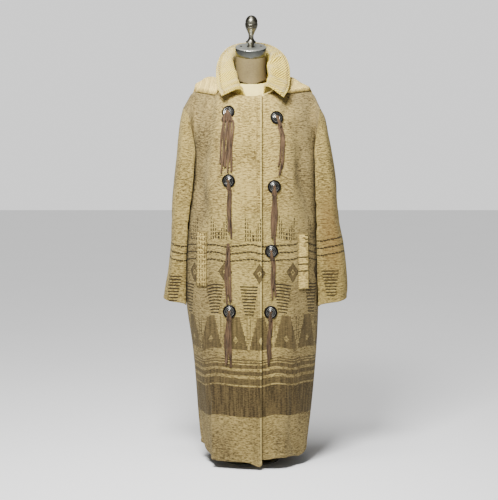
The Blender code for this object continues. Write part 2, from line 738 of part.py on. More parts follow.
def on_front(trees, across, height):
    """The coat's front surface seen from the front, at a place across and a height."""
    found = []
    for tree in trees:
        hit = tree.ray_cast(Vector((across, -1.0, height)), Vector((0, 1, 0)))[0]
        if hit is not None:
            found.append(hit)
    return min(found, key=lambda point: point.y)


def front_frame(trees, across, height, reach):
    """The seat of a flat round piece: its middle and outward normal, clear of the cloth."""
    middle = on_front(trees, across, height)
    right = on_front(trees, across + reach, height) - on_front(trees, across - reach, height)
    up = on_front(trees, across, height + reach) - on_front(trees, across, height - reach)
    normal = right.cross(up).normalized()
    if normal.y > 0:
        normal = -normal
    proud = 0.0
    for i in range(16):
        turn = 2 * math.pi * i / 16
        for share in (0.5, 1.0):
            x = across + reach * share * math.cos(turn)
            z = height + reach * share * math.sin(turn)
            proud = max(proud, (on_front(trees, x, z) - middle).dot(normal))
    return middle + normal * proud, normal


def welt_mesh(trees, row):
    """A pocket welt: a flat band that follows the front panel's own points, moved out."""
    rows, columns = 8, 4
    outer = np.zeros((rows + 1, columns + 1, 3))
    inner = np.zeros((rows + 1, columns + 1, 3))
    for j in range(rows + 1):
        height = row.bottom + (row.top - row.bottom) * j / rows
        middle = row.bottom_across + (row.top_across - row.bottom_across) * j / rows
        for i in range(columns + 1):
            across = middle + WELT_WIDTH * (i / columns - 0.5)
            point = on_front(trees, across, height)
            slope = on_front(trees, across + 0.004, height) - on_front(trees, across - 0.004, height)
            normal = Vector((slope.y, -slope.x, 0)).normalized()
            if normal.y > 0:
                normal = -normal
            inner[j, i] = point + normal * 3 * REST_GAP / 2
            outer[j, i] = point + normal * (3 * REST_GAP / 2 + WELT_THICKNESS)
    return wall_mesh(outer, inner)


def turned_mesh(profile, sides):
    """A closed turned solid about +Z from rows of radius and height."""
    built = bmesh.new()
    rings = []
    for row in profile:
        if row.radius == 0:
            rings.append([built.verts.new((0, 0, row.height))])
            continue
        ring = []
        for i in range(sides):
            turn = 2 * math.pi * i / sides
            x = row.radius * math.cos(turn)
            y = row.radius * math.sin(turn)
            ring.append(built.verts.new((x, y, row.height)))
        rings.append(ring)
    for low, high in zip(rings, rings[1:]):
        for i in range(sides):
            n = (i + 1) % sides
            if len(low) == 1:
                built.faces.new((low[0], high[i], high[n]))
            elif len(high) == 1:
                built.faces.new((low[i], high[0], low[n]))
            else:
                built.faces.new((low[i], high[i], high[n], low[n]))
    for ring in (rings[0], rings[-1]):
        if len(ring) > 1:
            built.faces.new(ring)
    bmesh.ops.recalc_face_normals(built, faces=built.faces)
    return built


def place_along(built, place, direction):
    """Turns a turned solid's axis from +Z to a direction and moves its foot to a place."""
    turn = Vector((0, 0, 1)).rotation_difference(direction).to_matrix().to_4x4()
    turn.translation = place
    bmesh.ops.transform(built, matrix=turn, verts=built.verts)


def strip_mesh(built, points, ways):
    """One flat suede strip along points, its flat side facing each point's way."""
    rings = []
    for i, point in enumerate(points):
        ahead = points[min(i + 1, len(points) - 1)] - points[max(i - 1, 0)]
        across = ahead.cross(ways[i]).normalized() * STRIP_WIDTH / 2
        deep = ways[i].normalized() * STRIP_THICKNESS / 2
        corners = (across + deep, across - deep, -across - deep, -across + deep)
        rings.append([built.verts.new(point + corner) for corner in corners])
    for low, high in zip(rings, rings[1:]):
        for i in range(4):
            n = (i + 1) % 4
            built.faces.new((low[i], low[n], high[n], high[i]))
    built.faces.new(rings[0])
    built.faces.new(rings[-1])


def tassel_pieces(trees, row, parts, cutters, material):
    """A tassel: a small leather head, with strips grown out of it that hang down the front."""
    reach = CONCHO_RADIUS if row.covered else HEAD_RADIUS
    seat, normal = front_frame(trees, row.across, row.height, reach)
    seat = seat + normal * REST_GAP
    foot = seat + normal * (CONCHO_TOP + SEAM_GAP if row.covered else 0.0)
    disc = [ConchoRing(HEAD_RADIUS, 0.0), ConchoRing(HEAD_RADIUS, HEAD_THICKNESS)]
    head = turned_mesh(disc, HEAD_SIDES)
    place_along(head, foot, normal)
    head_object = add_object("tassel_" + row.name, head, material, parts)
    strips = bmesh.new()
    right = normal.cross(Vector((0, 0, 1))).normalized()
    if right.x < 0:
        right = -right
    up = Vector((0, 0, 1)) - normal * normal.z
    up.normalize()
    layers = 2 if row.strips > 4 else 1
    in_layer = math.ceil(row.strips / layers)
    for i in range(row.strips):
        layer = i % layers
        even = (i // layers + 0.5 + LAYER_SHIFT * layer) / in_layer - 0.5
        start_across = even * in_layer * STRIP_PITCH
        end_across = row.end_across + even * row.spread
        uneven = 0.5 + 0.5 * math.sin(2.4 * i + 7 * row.height)
        end = row.end + STRIP_UNEVENNESS * uneven
        in_head = HEAD_THICKNESS / 2 + (layer - (layers - 1) / 2) * LAYER_STEP
        points = [foot + right * start_across + normal * in_head]
        ways = [normal]
        if row.covered:
            for drape in DRAPE:
                off = drape.off + layer * LAYER_STEP
                points.append(seat + right * start_across - up * drape.below + normal * off)
                ways.append(normal)
        for j in range(2 if row.covered else 1, STRIP_STEPS + 1):
            t = j / STRIP_STEPS
            height = row.height + (end - row.height) * t
            across = row.across + start_across
            across += (end_across - across) * t**0.9 + row.bow * math.sin(math.pi * t)
            cloth = on_front(trees, across, height)
            lift = STRIP_LIFT + STRIP_WAVE * (1 + math.sin(2.1 * i + 3 * t)) + layer * LAYER_STEP * 2.4
            points.append(Vector((across, cloth.y - lift, height)))
            ways.append(Vector((0, -1, 0)))
        strip_mesh(strips, points, ways)
    bmesh.ops.recalc_face_normals(strips, faces=strips.faces)
    strips_object = add_object("strips_" + row.name, strips, material, cutters)
    strips_object.hide_render = True
    strips_object.display_type = "WIRE"
    union = head_object.modifiers.new("strips", "BOOLEAN")
    union.operation = "UNION"
    union.object = strips_object
    return seat, normal


def form_side_point(turn, height):
    half_width = table_value(FORM, "height", "half_width", height)
    column = "back" if math.sin(turn) > 0 else "front"
    depth = table_value(FORM, "height", column, height)
    return Vector((half_width * math.cos(turn), depth * math.sin(turn), height))


def form_inset(front, share, rise):
    """How far the form lies inside the coat: it carries the shoulders and falls away below."""
    shoulder = SHOULDER_SHARES / SHARES
    at_middle = ease(shoulder - 0.02, 0.5, share) * ease(1 - shoulder + 0.02, 0.5, share)
    at_top = WALL + FORM_GAP + (0.006 * at_middle if front else 0.002 * at_middle)
    return at_top + (FORM_CHEST_INSET - at_top) * (1 - rise) ** 1.5


def torso_mesh():
    """The dress form's torso: rings up to the armpit, then a front and a back to the shoulders."""
    built = bmesh.new()
    count = 2 * SHARES
    rings = []
    for height in TORSO_RINGS:
        ring = []
        for i in range(count):
            turn = math.radians(180 + 180 * i / SHARES)
            ring.append(built.verts.new(form_side_point(turn, height)))
        rings.append(ring)
    for low, high in zip(rings, rings[1:]):
        for i in range(count):
            n = (i + 1) % count
            built.faces.new((low[i], low[n], high[n], high[i]))
    built.faces.new(rings[0])
    sheets = {}
    for front in (True, False):
        grid = np.array(
            [
                [chest_point(front, i / SHARES, j / CHEST_ROWS, FORM_ARM_BOW) for i in range(SHARES + 1)]
                for j in range(1, CHEST_ROWS + 1)
            ]
        )
        normals = grid_normals(grid)
        normals *= np.sign(normals[2, SHARES // 2, 1]) * (-1 if front else 1)
        for i in range(SHARES + 1):
            if i <= SHOULDER_SHARES or i >= SHARES - SHOULDER_SHARES:
                flatten(normals, (-1, i), 1)
        for j in range(CHEST_ROWS):
            for i in range(SHARES + 1):
                inset = form_inset(front, i / SHARES, (j + 1) / CHEST_ROWS)
                side = min(i, SHARES - i)
                grid[j, i] -= normals[j, i] * inset
                if side == 0:
                    grid[j, i, 0] *= TORSO_SIDE_INSET
        sheets[front] = grid
    seam = {}
    rows = {True: [], False: []}
    for front in (True, False):
        for j in range(CHEST_ROWS):
            row = []
            for i in range(SHARES + 1):
                on_seam = j == CHEST_ROWS - 1 and (i <= SHOULDER_SHARES or i >= SHARES - SHOULDER_SHARES)
                if on_seam:
                    if i not in seam:
                        both = (sheets[True][j, i] + sheets[False][j, i]) / 2
                        seam[i] = built.verts.new(both)
                    row.append(seam[i])
                else:
                    row.append(built.verts.new(sheets[front][j, i]))
            rows[front].append(row)
    first_front = rings[-1][: SHARES + 1]
    first_back = [rings[-1][0]] + rings[-1][: SHARES - 1 : -1]
    for front, first in ((True, first_front), (False, first_back)):
        stack = [first] + rows[front]
        for low, high in zip(stack, stack[1:]):
            for i in range(SHARES):
                corners = (low[i], low[i + 1], high[i + 1], high[i])
                built.faces.new(corners if front else corners[::-1])
    for end in (0, -1):
        loop = [rings[-1][0 if end == 0 else SHARES]]
        loop += [row[end] for row in rows[True]]
        loop += [row[end] for row in rows[False][-2::-1]]
        middle = built.verts.new(sum((vert.co for vert in loop), Vector()) / len(loop))
        for i, vert in enumerate(loop):
            built.faces.new((vert, loop[(i + 1) % len(loop)], middle))
    low, high = SHOULDER_SHARES, SHARES - SHOULDER_SHARES
    neckline = rows[True][-1][low : high + 1] + rows[False][-1][low + 1 : high][::-1]
    fill_to_neck(built, neckline)
    bmesh.ops.recalc_face_normals(built, faces=built.faces)
    return built


def neck_base_point(turn):
    """A point of the neck's foot, lower in front, where it meets the torso."""
    share = (1 + math.sin(turn)) / 2
    height = FORM_NECK_BASE_FRONT + (FORM_NECK_BASE_BACK - FORM_NECK_BASE_FRONT) * share
    x = (FORM_NECK_RADIUS + 0.003) * math.cos(turn)
    y = FORM_NECK_BASE_MIDDLE + (FORM_NECK_RADIUS + 0.006) * math.sin(turn)
    return Vector((x, y, height))


def fill_to_neck(built, neckline):
    """Closes the torso from the neckline up to the neck's foot."""
    low = neckline
    for share in (0.5, 1.0):
        ring = []
        for vert in neckline:
            turn = math.atan2(vert.co.y - NECK_MIDDLE, vert.co.x)
            ring.append(built.verts.new(vert.co.lerp(neck_base_point(turn), share)))
        for i, vert in enumerate(low):
            n = (i + 1) % len(low)
            built.faces.new((vert, low[n], ring[n], ring[i]))
        low = ring
    middle = built.verts.new(sum((vert.co for vert in low), Vector()) / len(low))
    for i, vert in enumerate(low):
        built.faces.new((vert, low[(i + 1) % len(low)], middle))


def cap_axis():
    return Vector((0, -math.sin(NECK_TILT), math.cos(NECK_TILT)))


def neck_mesh():
    """The form's neck: from its foot on the torso to a slanting top under the cap."""
    built = bmesh.new()
    count = NECK_SIDES
    axis = cap_axis()
    side = Vector((0, axis.z, -axis.y))
    top = CAP_MIDDLE - axis * (CAP_THICKNESS + REST_GAP)
    rings = []
    for share in (0.0, 0.12, 0.30, 0.5, 0.75, 1.0):
        ring = []
        for i in range(count):
            turn = 2 * math.pi * i / count
            low = neck_base_point(turn) + Vector((0, 0, REST_GAP))
            low.x *= 0.97
            high = top + Vector((1, 0, 0)) * FORM_NECK_RADIUS * math.cos(turn)
            high += side * FORM_NECK_RADIUS * math.sin(turn)
            point = low.lerp(high, share)
            waist = 1 - 0.035 * math.sin(math.pi * share)
            point.x *= waist
            ring.append(built.verts.new(point))
        rings.append(ring)
    for low, high in zip(rings, rings[1:]):
        for i in range(count):
            n = (i + 1) % count
            built.faces.new((low[i], low[n], high[n], high[i]))
    middle = sum((vert.co for vert in rings[0]), Vector()) / count
    foot = built.verts.new(middle + Vector((0, 0, REST_GAP)))
    for i in range(count):
        built.faces.new((rings[0][i], rings[0][(i + 1) % count], foot))
    built.faces.new(rings[-1])
    bmesh.ops.recalc_face_normals(built, faces=built.faces)
    return built


def turned_disc(radius, rim, top_radius, thickness):
    """A round plate with a slanting edge between its rim and its flat top."""
    profile = [
        FinialRow(0.0, 0.0),
        FinialRow(radius, 0.0),
        FinialRow(radius, rim),
        FinialRow(top_radius, thickness),
        FinialRow(0.0, thickness),
    ]
    return turned_mesh(profile, ROUND_SIDES)


def build_form(parts, materials):
    add_object("form_torso", torso_mesh(), materials["linen"], parts)
    add_object("form_neck", neck_mesh(), materials["linen"], parts)
    axis = cap_axis()
    cap = turned_disc(CAP_RADIUS, CAP_THICKNESS - CAP_BEVEL, CAP_RADIUS - CAP_BEVEL, CAP_THICKNESS)
    place_along(cap, CAP_MIDDLE - axis * CAP_THICKNESS, axis)
    add_object("neck_cap", cap, materials["cap_metal"], parts)
    finial = turned_mesh(FINIAL, FINIAL_SIDES)
    place_along(finial, CAP_MIDDLE + axis * REST_GAP / 2, axis)
    add_object("finial", finial, materials["finial_metal"], parts)
    pole_top = FORM[0].height - REST_GAP / 2
    pole_foot = BASE_THICKNESS + REST_GAP / 2
    pole_top_rows = [
        FinialRow(POLE_RADIUS, pole_top - pole_foot),
        FinialRow(0.0, pole_top - pole_foot),
    ]
    pole = turned_mesh(POLE_FOOT + pole_top_rows, POLE_SIDES)
    place_along(pole, Vector((0, 0, pole_foot)), Vector((0, 0, 1)))
    add_object("pole", pole, materials["stand_metal"], parts)
    base = turned_disc(BASE_RADIUS, BASE_RIM, BASE_RADIUS / 2, BASE_THICKNESS)
    add_object("base", base, materials["stand_metal"], parts)


def build_coat(parts, cutters, materials):
    right_outer, right_inner = panel_grids(True, 0, edge=LAP_EDGE)
    left_outer, left_inner = panel_grids(True, 1, edge=UNDER_EDGE, under=True)
    back_outer, back_inner = panel_grids(False, 0)
    wool = materials["wool"]
    add_object("front_right", wall_mesh(right_outer, right_inner), wool, parts)
    add_object("front_left", wall_mesh(left_outer, left_inner), wool, parts)
    add_object("back", wall_mesh(back_outer, back_inner), wool, parts)
    sleeves = (
        ("sleeve_right", RIGHT_SLEEVE, -1, right_outer, right_inner, 0),
        ("sleeve_left", LEFT_SLEEVE, 1, left_outer, left_inner, -1),
    )
    for name, table, sign, front_outer, front_inner, end in sleeves:
        head_outer = armhole_ring(front_outer, back_outer, end)
        head_inner = armhole_ring(front_inner, back_inner, end)
        outer, inner = sleeve_grids(table, sign, head_outer, head_inner)
        add_object(name, ring_mesh(outer, inner), wool, parts)
    add_object("collar", wall_mesh(*collar_grids()), materials["collar_wool"], parts)
    add_object("hood", wall_mesh(*hood_grids()), wool, parts)
    trees = front_trees((right_outer, left_outer))
    for row in WELTS:
        add_object(row.name, welt_mesh(trees, row), wool, parts)
    for row in TASSELS:
        seat, normal = tassel_pieces(trees, row, parts, cutters, materials["suede"])
        if not row.covered:
            continue
        concho = turned_mesh(CONCHO_PROFILE, CONCHO_SIDES)
        place_along(concho, seat, normal)
        add_object("concho_" + row.name, concho, materials["concho_metal"], parts)


def main():
    clear_scene()
    parts = new_collection("long_coat")
    cutters = new_collection("cutters")
    materials = {name: new_material(name, row) for name, row in MATERIALS.items()}
    build_coat(parts, cutters, materials)
    build_form(parts, materials)


main()
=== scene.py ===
# A long blanket wool coat with a turned-up collar, on a limbless dress form.
# Metres: X towards the wearer's left, -Y is the front, Z up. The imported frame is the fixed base.
import bisect
import math

import bmesh
import bpy
import numpy as np
from mathutils import Matrix, Vector
from mathutils.bvhtree import BVHTree


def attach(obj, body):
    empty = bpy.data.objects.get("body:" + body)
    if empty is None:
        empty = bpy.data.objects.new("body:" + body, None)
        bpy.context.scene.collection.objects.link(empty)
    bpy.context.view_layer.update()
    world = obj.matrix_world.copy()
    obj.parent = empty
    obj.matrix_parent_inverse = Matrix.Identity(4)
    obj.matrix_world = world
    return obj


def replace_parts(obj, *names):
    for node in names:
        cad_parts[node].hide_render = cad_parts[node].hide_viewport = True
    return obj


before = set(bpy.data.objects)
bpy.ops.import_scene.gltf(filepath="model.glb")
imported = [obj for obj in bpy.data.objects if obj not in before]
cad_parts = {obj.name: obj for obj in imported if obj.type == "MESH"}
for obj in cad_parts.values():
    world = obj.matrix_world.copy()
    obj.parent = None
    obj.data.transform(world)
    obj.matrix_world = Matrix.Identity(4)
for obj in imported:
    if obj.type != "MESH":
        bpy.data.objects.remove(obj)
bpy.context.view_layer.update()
print("frame loaded")

upward = Vector((0, 0, 1))


# a smooth curve through values at given places
def curveOf(places, values):
    places = [float(place) for place in places]
    values = [float(value) for value in values]
    slopes = [float(slope) for slope in np.gradient(values, places)]

    def at(place):
        if place <= places[0]:
            return values[0]
        if place >= places[-1]:
            return values[-1]
        i = bisect.bisect_left(places, place) - 1
        span = places[i + 1] - places[i]
        t = (place - places[i]) / span
        start = values[i] * (2 * t**3 - 3 * t**2 + 1) + slopes[i] * span * (t**3 - 2 * t**2 + t)
        return start + values[i + 1] * (3 * t**2 - 2 * t**3) + slopes[i + 1] * span * (t**3 - t**2)

    return at


def pathOf(places, points):
    lines = [curveOf(places, [point[k] for point in points]) for k in range(3)]
    return lambda at: Vector(line(at) for line in lines)


# a table as columns: the first column is the place along the curves of the others
def curvesOf(columns, rows):
    places = [row[0] for row in rows]
    return {name: curveOf(places, [row[k + 1] for row in rows]) for k, name in enumerate(columns)}


def ease(low, high, at):
    t = min(max((at - low) / (high - low), 0.0), 1.0)
    return t * t * (3 - 2 * t)


def rounded(value, squareness):
    return math.copysign(abs(value) ** (2 / squareness), value)


def hill(distance, width):
    return math.exp(-((distance / width) ** 2))


def turnsOf(count):
    return [2 * math.pi * i / count for i in range(count)]


def gridNormals(grid):
    normals = np.cross(np.gradient(grid, axis=1), np.gradient(grid, axis=0))
    return normals / np.maximum(np.linalg.norm(normals, axis=2, keepdims=True), 1e-12)


def outwardSign(grid, middle):
    j, i = grid.shape[0] // 2, grid.shape[1] // 3
    return 1.0 if np.dot(gridNormals(grid)[j, i], grid[j, i] - np.array(middle)) > 0 else -1.0


def gridFaces(rows, columns, closed=False):
    faces = []
    for j in range(rows - 1):
        for i in range(columns if closed else columns - 1):
            n = (i + 1) % columns
            faces.append((j * columns + i, j * columns + n, (j + 1) * columns + n, (j + 1) * columns + i))
    return faces


def treeOf(grid):
    return BVHTree.FromPolygons([Vector(point) for point in grid.reshape(-1, 3)], gridFaces(*grid.shape[:2]))


def rowLengths(grid):
    steps = np.linalg.norm(np.diff(grid, axis=1), axis=2)
    return np.concatenate([np.zeros((grid.shape[0], 1)), np.cumsum(steps, axis=1)], axis=1)


def addObject(name, data):
    item = bpy.data.objects.new(name, data)
    bpy.context.scene.collection.objects.link(item)
    return item


def joinRings(built, rings, capped=True):
    count = len(rings[0])
    for low, high in zip(rings, rings[1:]):
        for i in range(count):
            n = (i + 1) % count
            built.faces.new((low[i], low[n], high[n], high[i]))
    if capped:
        built.faces.new(rings[0])
        built.faces.new(rings[-1])


def addPiece(name, built, material):
    bmesh.ops.recalc_face_normals(built, faces=built.faces)
    mesh = bpy.data.meshes.new(name)
    for face in built.faces:
        face.smooth = True
    built.to_mesh(mesh)
    built.free()
    mesh.materials.append(material)
    item = addObject(name, mesh)
    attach(item, "root")
    return item


# a shader value that is reckoned with like a number
class Channel:
    def __init__(self, socket):
        self.socket = socket

    def __add__(self, other):
        return calc("ADD", self, other)

    def __sub__(self, other):
        return calc("SUBTRACT", self, other)

    def __rsub__(self, other):
        return calc("SUBTRACT", other, self)

    def __mul__(self, other):
        return calc("MULTIPLY", self, other)

    def __truediv__(self, other):
        return calc("DIVIDE", self, other)

    def __mod__(self, other):
        return calc("MODULO", self, other)

    def __gt__(self, other):
        return calc("GREATER_THAN", self, other)

    def __lt__(self, other):
        return calc("LESS_THAN", self, other)

    def __abs__(self):
        return calc("ABSOLUTE", self)


def calc(operation, *values):
    tree = next(value.socket.id_data for value in values if isinstance(value, Channel))
    node = tree.nodes.new("ShaderNodeMath")
    node.operation = operation
    for place, value in zip(node.inputs, values):
        if isinstance(value, Channel):
            tree.links.new(value.socket, place)
        else:
            place.default_value = value
    return Channel(node.outputs[0])


def clamped(value):
    kept = value + 0.0
    kept.socket.node.use_clamp = True
    return kept


def fract(value):
    return calc("FRACT", value)


def between(value, low, high):
    return (value > low) * (value < high)


def largest(values):
    total = values[0]
    for value in values[1:]:
        total = calc("MAXIMUM", total, value)
    return total


def mixColour(factor, first, second):
    tree = factor.socket.id_data
    node = tree.nodes.new("ShaderNodeMix")
    node.data_type = "RGBA"
    tree.links.new(factor.socket, node.inputs["Factor"])
    for socket, colour in ((node.inputs[6], first), (node.inputs[7], second)):
        if isinstance(colour, tuple):
            socket.default_value = (*colour, 1.0)
        else:
            tree.links.new(colour, socket)
    return node.outputs[2]


def noiseAt(vector, scale, detail=2.0, rough=0.55):
    node = vector.id_data.nodes.new("ShaderNodeTexNoise")
    for name, value in (("Scale", scale), ("Detail", detail), ("Roughness", rough)):
        node.inputs[name].default_value = value
    vector.id_data.links.new(vector, node.inputs["Vector"])
    return Channel(node.outputs["Fac"])


# noise on a place drawn out by its own amount along each axis
def grainAt(vector, x, y, z=1.0, detail=2.0, rough=0.55):
    node = vector.id_data.nodes.new("ShaderNodeMapping")
    node.inputs["Scale"].default_value = (x, y, z)
    vector.id_data.links.new(vector, node.inputs["Vector"])
    return noiseAt(node.outputs["Vector"], 1.0, detail, rough)


def objectPlace(tree):
    return tree.nodes.new("ShaderNodeTexCoord").outputs["Object"]


def clothPlace(tree):
    node = tree.nodes.new("ShaderNodeUVMap")
    node.uv_map = "cloth"
    parts = tree.nodes.new("ShaderNodeSeparateXYZ")
    tree.links.new(node.outputs["UV"], parts.inputs["Vector"])
    return node.outputs["UV"], Channel(parts.outputs["X"]), Channel(parts.outputs["Y"])


def newMaterial(name, **settings):
    material = bpy.data.materials.new(name)
    material.use_nodes = True
    shader = material.node_tree.nodes["Principled BSDF"]
    sockets = {"roughness": "Roughness", "metallic": "Metallic", "sheen": "Sheen Weight",
               "sheenRoughness": "Sheen Roughness", "sheenTint": "Sheen Tint",
               "specular": "Specular IOR Level"}
    for key, value in settings.items():
        shader.inputs[sockets[key]].default_value = value
    return material, material.node_tree


def setLook(tree, colour, height=None, strength=0.0, distance=0.0, roughness=None):
    shader = tree.nodes["Principled BSDF"]
    tree.links.new(colour, shader.inputs["Base Color"])
    if roughness is not None:
        tree.links.new(roughness.socket, shader.inputs["Roughness"])
    if height is not None:
        node = tree.nodes.new("ShaderNodeBump")
        node.inputs["Strength"].default_value = strength
        node.inputs["Distance"].default_value = distance
        tree.links.new(height.socket, node.inputs["Height"])
        tree.links.new(node.outputs["Normal"], shader.inputs["Normal"])


# the coat's own shape, the same as the solids'
coat = {
    "wall": 0.0026,
    "armpit": 1.062,
    "sideHem": 0.027,
    "tipDrop": 0.018,
    "cornerRise": 0.031,
    "cornerWide": 0.052,
    "squareness": 2.35,
    "lapEdge": 0.0365,
    "underEdge": -0.035,
    "lapClearance": 0.0014,
    "seamGap": 0.0004,
    "shoulder": 5 / 18,
    "neckHalfWidth": 0.0855,
    "neckMiddle": 0.012,
    "neckFront": 0.120,
    "neckBack": 0.062,
    "neckHeight": 1.287,
    "neckFrontDrop": 0.048,
    "neckBackRise": 0.010,
    "armholeBow": 0.085,
}

skirt = curvesOf(("right", "left", "front", "back"), (
    (0.010, 0.164, 0.184, 0.163, 0.140),
    (0.100, 0.175, 0.197, 0.164, 0.141),
    (0.180, 0.182, 0.207, 0.164, 0.142),
    (0.240, 0.186, 0.213, 0.164, 0.143),
    (0.325, 0.192, 0.220, 0.163, 0.143),
    (0.404, 0.200, 0.225, 0.162, 0.143),
    (0.541, 0.219, 0.229, 0.160, 0.141),
    (0.650, 0.222, 0.229, 0.158, 0.138),
    (0.814, 0.215, 0.225, 0.156, 0.134),
    (0.936, 0.200, 0.223, 0.154, 0.130),
    (1.062, 0.192, 0.220, 0.151, 0.127),
))

# from the sleeve's head (0) to the neck point (5)
shoulderSeam = curvesOf(("height", "right", "left", "along"), (
    (0, 1.2010, 0.2290, 0.2340, 0.000),
    (1, 1.2260, 0.2145, 0.2225, 0.001),
    (2, 1.2510, 0.1990, 0.2080, 0.003),
    (3, 1.2660, 0.1670, 0.1730, 0.006),
    (4, 1.2780, 0.1250, 0.1270, 0.009),
    (5, 1.2870, 0.0855, 0.0855, 0.012),
))

# angle round the body, width in degrees, depth at the hem, height where the fold fades out
skirtFolds = (
    (28.0, 13.0, 0.010, 0.80), (52.0, 11.0, -0.009, 0.90), (76.0, 13.0, 0.009, 0.98),
    (103.0, 12.0, -0.008, 0.92), (128.0, 14.0, 0.011, 1.00), (153.0, 12.0, -0.008, 0.80),
    (206.0, 10.0, -0.006, 0.60), (226.0, 12.0, 0.007, 0.75), (250.0, 13.0, -0.004, 0.65),
    (300.0, 12.0, 0.005, 0.80), (322.0, 12.0, -0.005, 0.85), (340.0, 10.0, 0.005, 0.75),
)


def skirtPoint(angle, height):
    turn = math.radians(angle)
    halfWidth = skirt["left" if math.cos(turn) > 0 else "right"](height)
    depth = skirt["back" if math.sin(turn) > 0 else "front"](height)
    x = halfWidth * rounded(math.cos(turn), coat["squareness"])
    y = depth * rounded(math.sin(turn), coat["squareness"])
    outward = Vector((x / halfWidth**2, y / depth**2, 0)).normalized()
    fold = 0.0
    for at, width, out, top in skirtFolds:
        growth = max(0.0, (top - height) / (top - coat["sideHem"])) ** 1.2
        fold += out * growth * hill(angle - at, width)
    return Vector((x, y, height)) + outward * fold


def angleOf(front, share):
    return 180 + 180 * share if front else 180 - 180 * share


def topPoint(front, share):
    shoulder = coat["shoulder"]
    if shoulder <= share <= 1 - shoulder:
        turn = math.pi * (share - shoulder) / (1 - 2 * shoulder)
        x = -coat["neckHalfWidth"] * math.cos(turn)
        if front:
            y = coat["neckMiddle"] - coat["neckFront"] * math.sin(turn)
            return Vector((x, y, coat["neckHeight"] - coat["neckFrontDrop"] * math.sin(turn)))
        y = coat["neckMiddle"] + coat["neckBack"] * math.sin(turn)
        return Vector((x, y, coat["neckHeight"] + coat["neckBackRise"] * math.sin(turn)))
    right = share < 0.5
    step = (share if right else 1 - share) * 18
    across = shoulderSeam["right" if right else "left"](step)
    return Vector((-across if right else across, shoulderSeam["along"](step), shoulderSeam["height"](step)))


def chestPoint(front, share, rise):
    bottom = skirtPoint(angleOf(front, share), coat["armpit"])
    top = topPoint(front, share)
    turn = rise * math.pi / 2
    fromSide = max(0.0, 1 - 18 * min(share, 1 - share) / 3)
    bow = (-1 if front else 1) * coat["armholeBow"] * fromSide**2
    bow *= math.sin(math.pi * min(max(rise, 0), 1.0)) ** 0.8
    x = bottom.x + (top.x - bottom.x) * (1 - math.cos(turn))
    y = top.y + (bottom.y - top.y) * math.cos(turn) + bow
    z = bottom.z + (top.z - bottom.z) * math.sin(turn)
    return Vector((x, y, z))


hemPlaces = [skirtPoint(angle, coat["sideHem"]).x for angle in range(360)]
hemReach = {"right": -min(hemPlaces), "left": max(hemPlaces)}


def hemHeight(front, share, under):
    x = skirtPoint(angleOf(front, share), coat["sideHem"]).x
    half = hemReach["left" if x > 0 else "right"]
    corner = min(1.0, max(0.0, (abs(x) - half + coat["cornerWide"]) / coat["cornerWide"]))
    side = coat["sideHem"] + coat["cornerRise"] * (1 - math.sqrt(1 - corner**2))
    if not front:
        return side
    if under:
        return side + 0.013 * ease(0.175, 0.125, x) - 0.006 * ease(0.085, 0.045, x)
    tip = max(0.0, (x - coat["lapEdge"] + 0.012) / 0.012)
    return side - coat["tipDrop"] * ease(-0.015, coat["lapEdge"], x) + 0.010 * tip**3


# level runs from 0 at the hem over 1 at the armpit to 2 at the shoulder seam
def coatPoint(front, share, level, under=False):
    if level <= 1:
        hem = hemHeight(front, share, under)
        return skirtPoint(angleOf(front, share), hem + (coat["armpit"] - hem) * level)
    return chestPoint(front, share, level - 1)


def shareAt(across, level, under):
    low, high = 0.05, 0.95
    for _ in range(22):
        middle = (low + high) / 2
        if coatPoint(True, middle, level, under).x < across:
            low = middle
        else:
            high = middle
    return (low + high) / 2


# creases: start across and height, end across and height, width, depth

frontCreases = (
    (-0.193, 1.236, -0.176, 1.165, 0.0090, -0.0050),
    (-0.206, 1.222, -0.190, 1.150, 0.0100, 0.0035),
    (-0.108, 1.245, -0.112, 1.150, 0.0110, 0.0045),
    (-0.128, 1.240, -0.134, 1.120, 0.0130, -0.0055),
    (-0.044, 1.150, 0.016, 1.040, 0.0100, 0.0075),
    (-0.060, 1.095, 0.020, 0.985, 0.0110, -0.0075),
    (-0.026, 1.160, 0.028, 1.085, 0.0080, -0.0055),
    (-0.050, 0.930, 0.020, 0.850, 0.0120, -0.0045),
    (-0.040, 0.590, 0.012, 0.592, 0.0045, -0.0036),
    (-0.038, 0.582, 0.014, 0.583, 0.0050, 0.0018),
    (0.112, 1.250, 0.118, 1.120, 0.0120, -0.0055),
    (0.134, 1.240, 0.142, 1.140, 0.0110, 0.0030),
    (0.150, 1.140, 0.192, 0.850, 0.0170, -0.0150),
    (0.120, 1.090, 0.146, 0.840, 0.0170, 0.0080),
    (0.196, 1.040, 0.206, 0.820, 0.0110, 0.0050),
    (0.108, 1.010, 0.104, 0.800, 0.0160, -0.0040),
    (0.205, 1.215, 0.186, 1.140, 0.0100, -0.0040),
    (-0.150, 1.160, -0.176, 0.790, 0.0200, -0.0140),
    (-0.120, 1.060, -0.132, 0.760, 0.0180, 0.0075),
    (-0.098, 0.960, -0.096, 0.700, 0.0150, -0.0050),
    (-0.095, 0.640, -0.112, 0.360, 0.0150, 0.0052),
    (0.128, 0.560, 0.140, 0.300, 0.0150, 0.0056),
    (-0.124, 0.270, -0.128, 0.030, 0.0080, 0.0030),
    (-0.020, 0.180, -0.060, 0.060, 0.0140, 0.0026),
    (0.074, 0.130, 0.076, 0.030, 0.0060, 0.0028),
    (0.094, 0.160, 0.096, 0.030, 0.0060, -0.0030),
    (0.110, 0.150, 0.113, 0.030, 0.0065, 0.0030),
    (0.134, 0.300, 0.140, 0.030, 0.0110, -0.0064),
    (0.207, 1.080, 0.219, 0.790, 0.0028, 0.0016),
)
